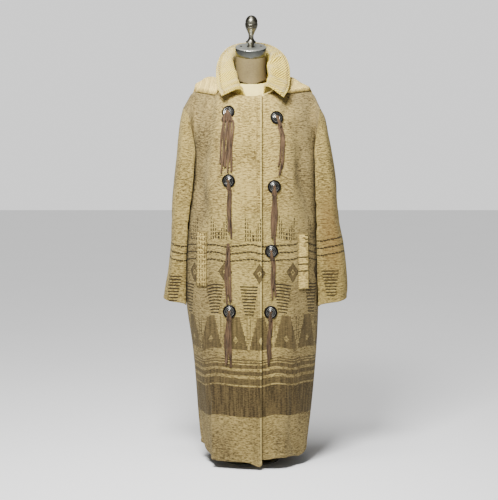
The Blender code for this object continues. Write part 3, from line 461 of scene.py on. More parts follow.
backCreases = (
    (-0.184, 1.170, -0.168, 1.080, 0.0100, -0.0075),
    (-0.150, 1.060, -0.120, 0.860, 0.0170, 0.0085),
    (-0.060, 1.060, -0.068, 0.780, 0.0180, -0.0076),
    (0.000, 1.080, 0.004, 0.720, 0.0160, 0.0076),
    (0.070, 1.070, 0.060, 0.820, 0.0180, -0.0085),
    (0.150, 1.080, 0.138, 0.860, 0.0160, 0.0095),
    (0.194, 1.165, 0.176, 1.075, 0.0100, -0.0075),
    (0.090, 0.640, 0.110, 0.220, 0.0170, 0.0085),
    (-0.100, 0.560, -0.116, 0.160, 0.0160, -0.0085),
    (-0.010, 0.400, 0.000, 0.050, 0.0150, -0.0076),
)


# an upright fold's edge low on the wearer's right: beyond it the cloth lies further back
sideStep = {"across": -0.1340, "lean": 0.015, "wide": 0.0026, "deep": 0.0105, "top": 0.330}


def stepHeight(x, z):
    growth = ease(sideStep["top"], 0.060, z)
    edge = sideStep["across"] + sideStep["lean"] * (z - 0.10)
    return -sideStep["deep"] * growth * ease(edge + sideStep["wide"], edge - sideStep["wide"], x)


def creaseHeight(creases, x, z):
    total = stepHeight(x, z) if creases is frontCreases else 0.0
    for x0, z0, x1, z1, width, depth in creases:
        if abs(z - (z0 + z1) / 2) > abs(z0 - z1) / 2 + 3 * width + 0.02:
            continue
        alongX, alongZ = x1 - x0, z1 - z0
        length = math.hypot(alongX, alongZ)
        t = ((x - x0) * alongX + (z - z0) * alongZ) / length**2
        aside = ((x - x0) * alongZ - (z - z0) * alongX) / length
        aside += 0.3 * width * math.sin(9.0 * t + 40 * x0)  # creases wander a little
        past = max(0.0, -t, t - 1) * length
        taper = math.sin(math.pi * min(max(t, 0.08), 0.92)) ** 0.6
        total += depth * taper * hill(aside, width) * hill(past, 0.018)
    return total


# gentle unevenness of hanging cloth
def clothSwell(x, z, seed):
    swell = math.sin(11 * x + 4.1 * z + seed) * math.sin(5.3 * z + 2.0 * seed)
    return 0.0010 * swell + 0.0006 * math.sin(23 * x - 9 * z + 2 * seed)


# a sheet of cloth from a grid of points, with its place on the cloth in metres as the UV map
def makeSheet(name, node, grid, cloth, thickness, material, middle, around=0.0, offset=-1.0):
    faces = gridFaces(*grid.shape[:2], closed=bool(around))
    if outwardSign(grid, middle) < 0:
        faces = [face[::-1] for face in faces]
    mesh = bpy.data.meshes.new(name)
    mesh.from_pydata([tuple(point) for point in grid.reshape(-1, 3)], [], faces)
    layer = mesh.uv_layers.new(name="cloth")
    flat = cloth.reshape(-1, 2)
    for polygon in mesh.polygons:
        places = [flat[mesh.loops[k].vertex_index] for k in polygon.loop_indices]
        widest = max(place[0] for place in places)
        for k, (across, up) in zip(polygon.loop_indices, places):
            if around and widest - across > 0.2:  # a ring's last column closes on its first
                across += around
            layer.data[k].uv = (across, up)
    mesh.materials.append(material)
    mesh.shade_smooth()
    mesh.update()
    item = addObject(name, mesh)
    shell = item.modifiers.new("wall", "SOLIDIFY")
    shell.thickness = thickness
    shell.offset = offset
    rounding = item.modifiers.new("soft", "SUBSURF")
    rounding.levels = rounding.render_levels = 1
    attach(item, "root")
    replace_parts(item, node)
    return item


wool = {
    "light": (0.430, 0.322, 0.098),
    "deep": (0.092, 0.060, 0.016),
    # pale: the painted highlight along the lap's edge
    "pale": (0.620, 0.500, 0.190),
    "dark": (0.014, 0.008, 0.003),
    "taupe": (0.088, 0.060, 0.023),
    "paleGround": (0.360, 0.300, 0.100),
    "stain": (0.120, 0.058, 0.015),
    # the painted shadow beside the lap, also the colour of the sewing row
    "shadowAndStitch": (0.110, 0.074, 0.024),
    "inShade": (0.60, 0.60, 0.76),  # what is left of each colour in the painted shade towards the sides and the hem
    "backShift": 1.16,
    "slub": (62.0, 225.0),
    "nub": (130.0, 300.0),
    "bump": (0.90, 0.0040),
}
# the woven stripes that cross the whole cloth: lowest and highest place, and how dark each is
lowerStripes = (
    (0.3693, 0.3732, 0.95), (0.3608, 0.3650, 0.90), (0.3440, 0.3562, 0.84),
    (0.3205, 0.3345, 0.88), (0.2885, 0.3100, 0.82), (0.1815, 0.2832, 0.92),
)
steppedStripes = {"heights": (0.7490, 0.7250, 0.7010), "half": 0.0027, "step": 0.0125, "lift": 0.0021,
                  "turn": 0.088, "start": 5.02, "gap": 0.07}
# generic figures of the weave, in a layout of their own: pitch and shift along the cloth, then sizes
figures = {
    "peak": (0.0870, 0.010), "peakLow": 0.4060, "peakTop": 0.5145, "peakStep": 0.0155, "peakHalf": 0.0400,
    "peakIn": 0.0040, "windowHigh": 0.4370, "windowHalf": (0.0085, 0.0130), "pair": (0.0372, 0.0392, 0.4400),
    "bar": (0.1160, 0.066), "cuffBar": (0.135, 0.0875), "barSpan": (0.5215, 0.6210),
    "cuffSpan": (0.5580, 0.6480), "barStep": 0.0102, "barThick": 0.44, "barGrow": 0.0018, "barLeast": 0.0150,
    "diamond": (0.1160, 0.030), "diamondMiddle": 0.6600, "diamondHalf": 0.0240, "diamondHigh": 0.0340,
    "dash": (0.1160, 0.052), "dashLow": 0.7660, "dashHigh": 0.7860, "dashSpread": 2.2, "dashHalf": 0.0280,
    "dashApart": (0.0080, 0.0130),
}


# how far the cloth's place lies from the middle of a figure that repeats
def asideOf(u, pitch, shift):
    return abs((u + (shift + 40 * pitch)) % pitch - pitch / 2)


def steppedMask(u, v):
    row = steppedStripes
    walk = calc("PINGPONG", u + row["start"], row["turn"]) / row["step"]
    lifted = v - calc("FLOOR", walk) * row["lift"] + 3 * row["lift"]
    lines = [between(lifted, z - row["half"], z + row["half"]) for z in row["heights"]]
    return largest(lines) * (fract(walk) > row["gap"])


def barMask(u, v, repeat, span):
    level = (v - span[0]) / figures["barStep"]
    reach = calc("FLOOR", level) * figures["barGrow"] + figures["barLeast"]
    bars = (fract(level) < figures["barThick"]) * (asideOf(u, *repeat) < reach)
    return bars * between(v, *span)


def figureMasks(u, v):
    row = figures
    # stepped peaks standing on the lowest stripes, each with a small light diamond left open
    aside = asideOf(u, *row["peak"])
    level = calc("FLOOR", (v - row["peakLow"]) / row["peakStep"])
    peak = (aside < row["peakHalf"] - level * row["peakIn"]) * between(v, row["peakLow"], row["peakTop"])
    window = aside / row["windowHalf"][0] + abs(v - row["windowHigh"]) / row["windowHalf"][1]
    peak = peak * (window > 1.0)
    # pairs of thin uprights between the peaks
    near, far, low = row["pair"]
    pair = between(aside, near, far) * between(v, low, row["peakTop"])
    # diamonds in a row, one inside the other
    ring = abs(v - row["diamondMiddle"]) / row["diamondHigh"]
    ring = asideOf(u, *row["diamond"]) / row["diamondHalf"] + ring
    filled = between(ring, 0.30, 0.84)
    diamond = largest([between(ring, 0.84, 1.0), ring < 0.16])
    # groups of dashed uprights, longest at the outside
    aside = asideOf(u, *row["dash"])
    dashes = (fract(aside / row["dashApart"][0]) < 0.44) * (fract(v / row["dashApart"][1]) < 0.74)
    dashes = dashes * (aside < row["dashHalf"]) * (v > row["dashLow"])
    dashes = dashes * (v < aside * row["dashSpread"] + row["dashHigh"])
    bars = barMask(u, v, row["bar"], row["barSpan"])
    return [peak * 0.82, filled * 0.88], [pair * 0.85, diamond * 0.80, dashes * 0.92, bars * 0.96]


# where each welt lies on the cloth it was cut from: its middle, and its lowest and highest place
weltCuts = {"dashed": (0.2390, 1.812, 1.994), "striped": (0.5715, 1.802, 1.986)}


def weltMasks(what, u, v):
    middle, low, high = weltCuts[what]
    beside = abs(u - middle) > 0.0148
    above = abs(v - (low + high) / 2) > (high - low) / 2 - 0.0030
    masks = [calc("MAXIMUM", beside, above) * 0.55]  # painted shade along the turned edges
    if what == "dashed":
        uprights = between(fract(u / 0.0085), 0.30, 0.60)
        return masks + [uprights * (fract(v / 0.0150) < 0.64) * 0.85]
    bars = [between(v, z, z + 0.0048) for z in (1.8600, 1.8830, 1.9060)]
    stubs = [between(v, z, z + 0.0040) * (u > 0.5745) for z in (1.9540, 1.9660, 1.9780)]
    return masks + [largest(bars + stubs) * 0.90]


# the body's ground: painted shade towards the sides and the hem, painted highlight and shadow at the lap, and
# the row of sewing beside it
def bodyGround(ground, texture, tones, broad, u, v, uWoven):
    # the figured part has a paler, slightly green ground
    ground = mixColour(between(v, 0.405, 0.86) * (broad * 0.28), ground, wool["paleGround"])
    # painted shade: darker towards the sides and the hem, left light on the chest; the back starts one shift
    # further on
    aside = (calc("MINIMUM", abs(u), abs(u - wool["backShift"])) - 0.070) / 0.100
    below = (0.820 - v) / 0.850
    paintedShade = (calc("MAXIMUM", aside, 0.0) + calc("MAXIMUM", below, 0.0)) * (broad + 0.40)
    inShade = [tuple(a * b for a, b in zip(tone, wool["inShade"])) for tone in tones]
    ground = mixColour(calc("MINIMUM", paintedShade, 1.0), ground, mixColour(texture, *inShade))
    # painted highlight along the lap's edge, and painted shadow on the cloth beside it
    ground = mixColour(between(uWoven, 0.0300, 0.0368) * 0.30, ground, wool["pale"])
    ground = mixColour(between(u, 0.0368, 0.0430) * 0.60, ground, wool["shadowAndStitch"])
    sewn = between(u, 0.0186, 0.0214) * (fract(v / 0.0104) < 0.55)
    return mixColour(sewn * 0.60, ground, wool["shadowAndStitch"])


# what: "body" has every stripe and figure, "sleeve" has stripes and cuff bars, "dashed" and "striped"
# are the welts' own, and "plain" has none
def makeWool(name, what, tint=1.0, stained=False):
    material, tree = newMaterial(name, roughness=0.93, sheen=0.10, sheenRoughness=0.55,
                                 sheenTint=(0.95, 0.84, 0.55, 1.0), specular=0.18)
    place, u, v = clothPlace(tree)
    loose = (grainAt(place, 420.0, 160.0) - 0.5) * 0.0030
    uWoven, vWoven = u + loose, v + loose
    slub = grainAt(place, *wool["slub"], detail=3.0, rough=0.65)
    nub = grainAt(place, *wool["nub"], detail=3.0, rough=0.6)
    broad = noiseAt(place, 9.0, 3.0)
    tones = [tuple(channel * tint for channel in wool[tone]) for tone in ("light", "deep")]
    texture = clamped((slub - 0.5) * 3.5 + 0.42 + (nub - 0.5) * 2.6 + (broad - 0.5) * 1.3)
    colour = mixColour(texture, *tones)
    height = slub * 0.8 + nub * 0.8
    fineMasks = []
    if stained:  # an old brown mark on the sleeve's outer side
        aside, above = (u - 0.128) / 0.056, (v - 0.770) / 0.190
        mark = 1.40 - (aside * aside + above * above + broad * 0.8)
        colour = mixColour(clamped(mark * 0.50), colour, wool["stain"])
    if what == "body":
        colour = bodyGround(colour, texture, tones, broad, u, v, uWoven)
        broadMasks, fineMasks = figureMasks(uWoven, vWoven)
        broadMasks += [between(vWoven, low, high) * dark for low, high, dark in lowerStripes]
        streak = grainAt(place, 150.0, 9.0)
        heather = clamped((streak - 0.5) * 3.4 + 0.50 + (nub - 0.5) * 4.5)
        colour = mixColour(largest(broadMasks), colour, mixColour(heather, wool["dark"], wool["taupe"]))
    if what in ("body", "sleeve"):
        fineMasks.append(steppedMask(uWoven, vWoven) * 0.90)
    if what == "sleeve":
        fineMasks.append(barMask(uWoven, vWoven, figures["cuffBar"], figures["cuffSpan"]) * 0.90)
    if what in weltCuts:
        fineMasks = weltMasks(what, u, v)
    if fineMasks:
        mask = largest(fineMasks)
        colour = mixColour(mask, colour, wool["dark"])
        height = height + mask * 0.25
    setLook(tree, colour, height, *wool["bump"])
    return material


bodyWool = makeWool("body_wool", "body")
# the sleeves are a darker copy of the body's wool: painted shade at the coat's sides
rightSleeveWool = makeWool("sleeve_wool", "sleeve", 0.80)
leftSleeveWool = makeWool("stained_sleeve_wool", "sleeve", 0.80, stained=True)
# the hood's wool is a much lighter copy of the coat's wool: painted light on its upturned top
plainWool = makeWool("plain_wool", "plain", 2.10)
weltWools = {"right": makeWool("welt_wool_dashed", "dashed", 1.22),
             "left": makeWool("welt_wool_striped", "striped", 1.62)}
print("wool ready")

# body panels

panel = {
    "skirtLevels": 52,
    "chestLevels": 22,
    "columns": 46,
    "stitchIn": 0.0165,
    "stitchDepth": 0.0017,
    "edgeProud": 0.0016,
    "besideLap": 0.0045,
    "hemStitchUp": 0.0155,
    "stitchWide": 0.0018,
    "pleatAcross": 0.1340,
    "pleatColumns": (0.0090, 0.0050, 0.0028, 0.0010, -0.0010, -0.0028, -0.0050, -0.0090),
}

# the cloth hangs a little unevenly, so the woven bands drift up and down across the front
bandDrift = curveOf((-0.23, -0.160, -0.135, -0.060, 0.020, 0.040, 0.085, 0.145, 0.200, 0.24),
                    (0.000, 0.004, -0.003, 0.000, 0.003, 0.003, -0.0065, 0.001, -0.003, 0.0))


def levelsOf(hem):
    reach = coat["armpit"] - hem
    low = [0.0, 0.006, 0.0125, panel["hemStitchUp"], 0.0185, 0.027]
    levels = [height / reach for height in low]
    count = panel["skirtLevels"]
    levels += [levels[-1] + (1 - levels[-1]) * (j + 1) / count for j in range(count)]
    return levels + [1 + (j + 1) / panel["chestLevels"] for j in range(panel["chestLevels"])]


def lapDepth(across):
    return (coat["wall"] + coat["lapClearance"]) * (1 - ease(coat["lapEdge"] + 0.006, 0.100, across))


# the armhole's seam: distance from its edge, width and height of the ridge and the groove beside it
armholeSeam = ((0.0050, 0.0036, 0.0026), (0.0122, 0.0026, -0.0028))
sideShares = (0.0, 0.0045, 0.0090, 0.0140, 0.0200, 0.0270)


def makePanel(name, node, front, edge=None, under=False):
    levels = levelsOf(coat["sideHem"])
    insets = [0.0270, 0.0220, 0.0190, panel["stitchIn"], 0.0140, 0.0085, 0.0035, 0.0]
    rows, edges = [], []
    for level in levels:
        if edge is None:
            count = 2 * panel["columns"]
            inner = list(np.linspace(0.036, 0.964, count - 11))
            shares = list(sideShares) + inner + [1 - share for share in sideShares[::-1]]
            edges.append([0.2] * len(shares))
        else:
            sign = 1 if edge > 0 else -1
            ends = [shareAt(edge - sign * inset, level, under) for inset in insets]
            first = 0.0 if sign > 0 else 1.0
            near = [abs(first - share) for share in sideShares]
            pleat = [shareAt(-sign * (panel["pleatAcross"] + aside), level, under)
                     for aside in panel["pleatColumns"]]
            sideward = np.linspace(abs(first - 0.036), pleat[0], 10, endpoint=False)
            inward = np.linspace(pleat[-1], ends[0], panel["columns"] - 15 - len(pleat), endpoint=False)
            shares = near + list(sideward) + pleat[:-1] + list(inward) + ends
            edges.append([0.2] * panel["columns"] + insets)
        rows.append([coatPoint(front, share, level, under) for share in shares])
    grid = np.array(rows)
    normals = gridNormals(grid)
    outward = grid.copy()
    outward[:, :, 2] = 0.02
    middle = (len(levels) // 2, panel["columns"] // 3)
    normals *= np.sign(np.dot(normals[middle], outward[middle]))
    setback = (-1 if front else 1) * coat["seamGap"] / 2
    sideEnds = (0,) if edge is not None else (0, -1)
    for end in sideEnds:
        grid[: len(levels) - panel["chestLevels"], end, 1] += setback
    for i in range(grid.shape[1]):
        if abs(grid[-1, i, 0]) > coat["neckHalfWidth"] - 0.0005:
            grid[-1, i, 1] += setback
    creases = frontCreases if front else backCreases
    relief = np.zeros(grid.shape[:2])
    for j in range(grid.shape[0]):
        for i in range(grid.shape[1]):
            x, y, z = grid[j, i]
            fromSeam = min(1.0, min(i, grid.shape[1] - 1 - i if edge is None else 99) / 4)
            fromTop = min(1.0, (len(levels) - 1 - j) / 4)
            lift = creaseHeight(creases, x, z) + clothSwell(x, z, 0.4 if front else 2.2)
            lift *= fromSeam * fromTop
            if z > coat["armpit"] - 0.004 and j < len(levels) - 2:
                ends = grid[j, [0]] if edge is not None else grid[j, [0, -1]]
                fromArm = float(np.linalg.norm(ends - grid[j, i], axis=1).min())
                flatter = 0.35 + 0.65 * ease(1.225, 1.165, z)  # the seam lies flatter over the shoulder
                lift += flatter * sum(out * hill(fromArm - at, wide) for at, wide, out in armholeSeam)
            fromHem = z - grid[0, i, 2]
            fromEdge = edges[j][i]
            lift -= panel["stitchDepth"] * hill(fromEdge - panel["stitchIn"], panel["stitchWide"])
            lift -= panel["stitchDepth"] * hill(fromHem - panel["hemStitchUp"], panel["stitchWide"])
            if under:
                lift -= panel["besideLap"] * hill(x - coat["lapEdge"] - 0.004, 0.014) * ease(1.225, 1.180, z)
            if fromEdge < panel["stitchIn"]:
                lift += panel["edgeProud"]
            if fromHem < panel["hemStitchUp"] - 0.001:
                lift += 0.8 * panel["edgeProud"]
            relief[j, i] = lift
    grid = grid + normals * relief[:, :, None]
    if under:
        depths = np.vectorize(lapDepth)(grid[:, :, 0])
        grid = grid - normals * depths[:, :, None]
    lengths = rowLengths(grid)
    if edge is None:
        across = lengths - lengths[:, [grid.shape[1] // 2]]
    else:
        across = edge - (1 if edge > 0 else -1) * (lengths[:, [-1]] - lengths)
    heights = grid[:, :, 2].copy()
    rise = np.linalg.norm(np.diff(grid, axis=0), axis=2)
    start = len(levels) - panel["chestLevels"]
    for j in range(start, grid.shape[0]):
        heights[j] = heights[j - 1] + rise[j - 1]
    if front:
        heights += np.vectorize(bandDrift)(across)
    else:
        across = across + wool["backShift"]
    cloth = np.stack([across, heights], axis=2)
    return makeSheet(name, node, grid, cloth, coat["wall"], bodyWool, (0.0, 0.0, 0.6)), grid


frontRight, rightGrid = makePanel("frontRight", "front_right", True, coat["lapEdge"])
frontLeft, leftGrid = makePanel("frontLeft", "front_left", True, coat["underEdge"], under=True)
back, backGrid = makePanel("backPanel", "back", False)
print("body panels ready")


# sleeves

sleeve = {"squareness": 2.5, "tuck": 0.013, "backTuck": 0.017, "gap": 0.0006, "clear": 0.0050, "rings": 62}

# outer height, inner height, outer place, inner place, depth to front and back
rightSleeveRows = (
    (1.168, 1.030, 0.2355, 0.2015, 0.086), (1.115, 0.985, 0.2425, 0.2035, 0.087),
    (1.048, 0.945, 0.2470, 0.2065, 0.086), (0.975, 0.900, 0.2555, 0.2110, 0.084),
    (0.893, 0.850, 0.2655, 0.2175, 0.082), (0.829, 0.800, 0.2690, 0.2225, 0.080),
    (0.758, 0.740, 0.2710, 0.2270, 0.078), (0.705, 0.690, 0.2765, 0.2290, 0.077),
    (0.651, 0.640, 0.2825, 0.2295, 0.076), (0.605, 0.590, 0.2910, 0.2290, 0.075),
    (0.562, 0.538, 0.2975, 0.2270, 0.073),
)
leftSleeveRows = (
    (1.168, 1.030, 0.2495, 0.2270, 0.086), (1.104, 0.985, 0.2620, 0.2285, 0.087),
    (1.027, 0.945, 0.2755, 0.2295, 0.086), (0.948, 0.890, 0.2865, 0.2310, 0.084),
    (0.895, 0.850, 0.2895, 0.2320, 0.082), (0.845, 0.810, 0.2960, 0.2325, 0.081),
    (0.797, 0.770, 0.3040, 0.2330, 0.080), (0.748, 0.730, 0.3150, 0.2345, 0.079),
    (0.684, 0.670, 0.3240, 0.2355, 0.078), (0.605, 0.600, 0.3295, 0.2360, 0.077),
    (0.562, 0.533, 0.3260, 0.2355, 0.075),
)
# on each sleeve: start across and height, end across and height, width, depth
sleeveCreases = (
    (0.020, 1.090, 0.060, 0.960, 0.0120, -0.0040),
    (0.055, 1.060, 0.050, 0.860, 0.0140, 0.0036),
    (0.120, 1.130, 0.105, 0.980, 0.0130, -0.0034),
    (0.030, 0.905, 0.110, 0.868, 0.0100, -0.0044),
    (0.040, 0.882, 0.130, 0.900, 0.0090, 0.0036),
    (0.120, 0.860, 0.210, 0.820, 0.0110, -0.0040),
    (0.050, 0.820, 0.140, 0.800, 0.0100, -0.0030),
    (0.090, 0.780, 0.085, 0.600, 0.0150, 0.0034),
    (0.140, 0.760, 0.150, 0.590, 0.0130, -0.0036),
    (0.230, 1.080, 0.240, 0.760, 0.0160, 0.0040),
    (0.290, 1.020, 0.270, 0.860, 0.0140, -0.0044),
    (0.310, 0.860, 0.250, 0.820, 0.0110, -0.0036),
    (0.300, 0.740, 0.310, 0.580, 0.0150, 0.0036),
    (0.020, 0.720, 0.026, 0.580, 0.0120, -0.0032),
)


def bodyHalf(sign, y, height):
    half = skirt["left" if sign > 0 else "right"](height)
    share = min(1.0, abs(y) / skirt["front" if y < 0 else "back"](height))
    return half * (1 - share ** coat["squareness"]) ** (1 / coat["squareness"])


def makeSleeve(name, node, rows, sign, material, bandShift, creaseShift):
    start = rightGrid.shape[0] - 1 - panel["chestLevels"]
    front = (rightGrid if sign < 0 else leftGrid)[start:, 0]
    behind = backGrid[start:, 0 if sign < 0 else -1][::-1]
    head = np.concatenate([front, behind[1:-1]])
    head[0, 1] = 0.0
    head[panel["chestLevels"], 1] = 0.0
    head[:, 0] += sign * sleeve["gap"]
    count = len(head)
    rings = [head]
    for outerHeight, innerHeight, outer, inner, depth in rows:
        outerPlace = Vector((sign * outer, 0, outerHeight))
        innerPlace = Vector((sign * inner, 0, innerHeight))
        ring = []
        for turn in turnsOf(count):
            reach = -rounded(math.cos(turn), sleeve["squareness"])
            y = -depth * rounded(math.sin(turn), sleeve["squareness"])
            tuck = -sign * sleeve["tuck"] * (y / depth) ** 2 * (1 - reach) / 2 * (y < 0)
            if y > 0:
                tuck = -sign * sleeve["backTuck"] * (y / depth) ** 1.2 * (1 - reach) / 2
            point = (outerPlace + innerPlace) / 2 + (outerPlace - innerPlace) / 2 * reach
            point += Vector((tuck, y, 0))
            beside = bodyHalf(sign, y, point.z) + sleeve["clear"]
            if abs(point.x) > beside:
                point.x += (sign * beside - point.x) * max(0.0, (0.3 - reach) / 1.3) ** 0.6
            ring.append(point)
        rings.append(np.array(ring))
    stack = np.array(rings)
    places = np.arange(len(stack))
    wanted = [0.0, 0.04, 0.12] + list(np.linspace(0.25, len(rows) - 0.42, sleeve["rings"]))
    wanted += [len(rows) - fall for fall in (0.30, 0.235, 0.17, 0.08, 0.0)]
    grid = np.zeros((len(wanted), count, 3))
    for i in range(count):
        for k in range(3):
            line = curveOf(places, stack[:, i, k])
            grid[:, i, k] = [line(at) for at in wanted]
    lengths = rowLengths(np.concatenate([grid, grid[:, :1]], axis=1))[:, :-1]
    closed = np.concatenate([grid[:, -1:], grid, grid[:, :1]], axis=1)
    normals = gridNormals(closed)[:, 1:-1]
    outward = grid - grid.mean(axis=1, keepdims=True)
    normals *= np.sign(np.sum(normals[20] * outward[20]))
    for j in range(3, len(wanted)):
        cuff = wanted[j] - (len(rows) - 0.235)
        for i in range(count):
            lift = creaseHeight(sleeveCreases, lengths[j, i] + creaseShift, grid[j, i, 2])
            lift += clothSwell(lengths[j, i], grid[j, i, 2], 3.1 * sign)
            lift *= min(1.0, (j - 2) / 5) * (1 - 0.7 * hill(min(i, count - i) / count, 0.13))
            lift -= 0.0010 * hill(cuff, 0.03)
            if cuff > 0.02:
                lift += 0.0007
            grid[j, i] += normals[j, i] * lift
    heights = grid[:, :, 2] + bandShift
    cloth = np.stack([lengths, heights], axis=2)
    around = float(lengths[30, -1] + lengths[30, 1])
    middle = grid[30].mean(axis=0)
    return makeSheet(name, node, grid, cloth, coat["wall"], material, middle, around=around), grid


sleeveRight, sleeveRightGrid = makeSleeve("sleeveRight", "sleeve_right", rightSleeveRows, -1,
                                          rightSleeveWool, 0.002, 0.0)
sleeveLeft, sleeveLeftGrid = makeSleeve("sleeveLeft", "sleeve_left", leftSleeveRows, 1,
                                        leftSleeveWool, -0.016, 0.012)
print("sleeves ready")

# collar

collarShape = {"roll": 0.30, "rows": 18, "steps": 84, "rightEnd": -0.0170, "leftEnd": 0.0400,
               "arch": 0.008, "thickness": 0.0042, "stitchIn": 0.10,
               "long": 0.62, "wide": 0.105}
collarCurves = curvesOf(("rollX", "rollY", "rollZ", "edgeX", "edgeY", "edgeZ"), (
    (0.00, -0.0300, -0.1200, 1.253, -0.0960, -0.136, 1.240),
    (0.07, -0.0370, -0.1000, 1.273, -0.1080, -0.108, 1.262),
    (0.15, -0.0450, -0.0700, 1.298, -0.1150, -0.070, 1.302),
    (0.24, -0.0575, -0.0260, 1.334, -0.1140, -0.022, 1.345),
    (0.33, -0.0590, 0.0180, 1.358, -0.0960, 0.035, 1.390),
    (0.42, -0.0390, 0.0530, 1.368, -0.0570, 0.080, 1.420),
    (0.50, 0.0000, 0.0625, 1.370, 0.0030, 0.096, 1.429),
    (0.58, 0.0400, 0.0530, 1.368, 0.0570, 0.083, 1.422),
    (0.67, 0.0600, 0.0180, 1.358, 0.1020, 0.042, 1.395),
    (0.76, 0.0600, -0.0260, 1.334, 0.1270, -0.012, 1.352),
    (0.85, 0.0590, -0.0700, 1.300, 0.1305, -0.060, 1.298),
    (0.93, 0.0520, -0.0980, 1.279, 0.1230, -0.104, 1.260),
    (1.00, 0.0460, -0.1170, 1.264, 0.1080, -0.138, 1.236),
))


def collarSeam(share):
    frontPart = 0.26
    shoulder = coat["shoulder"]
    rightTurn = math.acos(-collarShape["rightEnd"] / coat["neckHalfWidth"])
    leftTurn = math.acos(collarShape["leftEnd"] / coat["neckHalfWidth"])
    if share < frontPart:
        turn = rightTurn * (1 - share / frontPart)
        return topPoint(True, shoulder + (1 - 2 * shoulder) * turn / math.pi)
    if share > 1 - frontPart:
        turn = leftTurn * (share - 1 + frontPart) / frontPart
        return topPoint(True, 1 - shoulder - (1 - 2 * shoulder) * turn / math.pi)
    turn = math.pi * (share - frontPart) / (1 - 2 * frontPart)
    return topPoint(False, shoulder + (1 - 2 * shoulder) * turn / math.pi)


# start and end along the collar and across its width, width, depth
collarCreases = (
    (0.775, 0.26, 0.712, 0.86, 0.009, 0.0150),
    (0.750, 0.30, 0.690, 0.80, 0.012, -0.0090),
    (0.845, 0.42, 0.870, 0.98, 0.014, -0.0080),
    (0.880, 0.40, 0.905, 0.90, 0.013, 0.0060),
    (0.800, 0.35, 0.815, 0.80, 0.014, 0.0055),
    (0.930, 0.20, 0.955, 0.80, 0.014, -0.0060),
    (0.130, 0.35, 0.105, 0.80, 0.016, -0.0055),
    (0.070, 0.20, 0.050, 0.80, 0.014, -0.0060),
    (0.180, 0.40, 0.170, 0.85, 0.016, 0.0055),
    (0.300, 0.40, 0.310, 0.85, 0.018, -0.0045),
    (0.660, 0.35, 0.650, 0.85, 0.018, -0.0045),
    (0.450, 0.40, 0.455, 0.85, 0.020, 0.0040),
)


def makeCollar():
    widths = [0.0, 0.03, 0.08] + list(np.linspace(0.14, 0.86, collarShape["rows"]))
    widths += [0.885, 0.905, 0.925, 0.955, 0.98, 1.0]
    shares = [0.0, 0.004, 0.010, 0.018] + list(np.linspace(0.03, 0.97, collarShape["steps"]))
    shares += [0.982, 0.990, 0.996, 1.0]
    points, cloth = [], []
    for wide in widths:
        row, flat = [], []
        for share in shares:
            seam = collarSeam(share)
            inward = Vector((-seam.x, -seam.y, 0)).normalized()
            seam = seam + inward * coat["wall"] / 2 + Vector((0, 0, 0.0012))
            roll = Vector(collarCurves["roll" + k](share) for k in "XYZ")
            edge = Vector(collarCurves["edge" + k](share) for k in "XYZ")
            point = pathOf((0, collarShape["roll"], 1), (seam, roll, edge))(wide)
            nearFront = max(ease(0.20, 0.0, share), ease(0.80, 1.0, share))
            point.z += collarShape["arch"] * nearFront * math.sin(math.pi * wide)
            row.append(point)
            flat.append((share * collarShape["long"], wide * collarShape["wide"]))
        points.append(row)
        cloth.append(flat)
    grid = np.array(points)
    normals = gridNormals(grid)
    outward = grid.copy()
    outward[:, :, 2] = -0.05
    normals *= np.sign(np.sum(normals[6, len(shares) // 2] * outward[6, len(shares) // 2]))
    for j, wide in enumerate(widths):
        for i, share in enumerate(shares):
            lift = 0.0
            for s0, w0, s1, w1, width, depth in collarCreases:
                t = min(max((wide - w0) / (w1 - w0), 0.0), 1.0)
                aside = share - (s0 + (s1 - s0) * t)
                past = max(0.0, w0 - wide, wide - w1)
                taper = math.sin(math.pi * min(max(t, 0.15), 0.85))
                lift += depth * hill(aside, width) * hill(past, 0.10) * taper
            fromEdge = min(1 - wide, min(share, 1 - share) * 5.5)
            lift += 0.0030 * hill(fromEdge - collarShape["stitchIn"], 0.016)
            lift -= 0.0022 * (fromEdge < collarShape["stitchIn"] - 0.01)
            lift += 0.0012 * math.sin(14 * share + 5 * wide) * math.sin(math.pi * wide)
            grid[j, i] -= normals[j, i] * lift
    return grid, np.array(cloth)


def makeTwill(name):
    material, tree = newMaterial(name, roughness=0.92, sheen=0.22, sheenRoughness=0.5, specular=0.18)
    place, u, v = clothPlace(tree)
    slant = u * 0.80 + v + noiseAt(place, 60.0) * 0.0030
    rib = calc("PINGPONG", (slant + 2.0) / 0.0036, 1.0)
    nub = noiseAt(place, 330.0, 3.0, 0.65)
    broad = noiseAt(place, 16.0, 3.0)
    groove = between(v, 0.0915, 0.0950) * 0.45  # painted shade in the stitched groove
    mixed = clamped((1.0 - rib) * 1.30 + (nub - 0.64) * 3.0 + (broad - 0.5) * 0.7 + groove)
    colour = mixColour(mixed, (0.800, 0.600, 0.085), (0.170, 0.100, 0.012))
    setLook(tree, colour, rib * 0.8 + nub * 0.7, 1.0, 0.0050)
    return material


collarGrid, collarCloth = makeCollar()
collarItem = makeSheet("collarPiece", "collar", collarGrid, collarCloth, collarShape["thickness"],
                       makeTwill("collar_twill"), (0.0, 0.0, 1.9), offset=0.0)
print("collar ready")

# hood, lying back

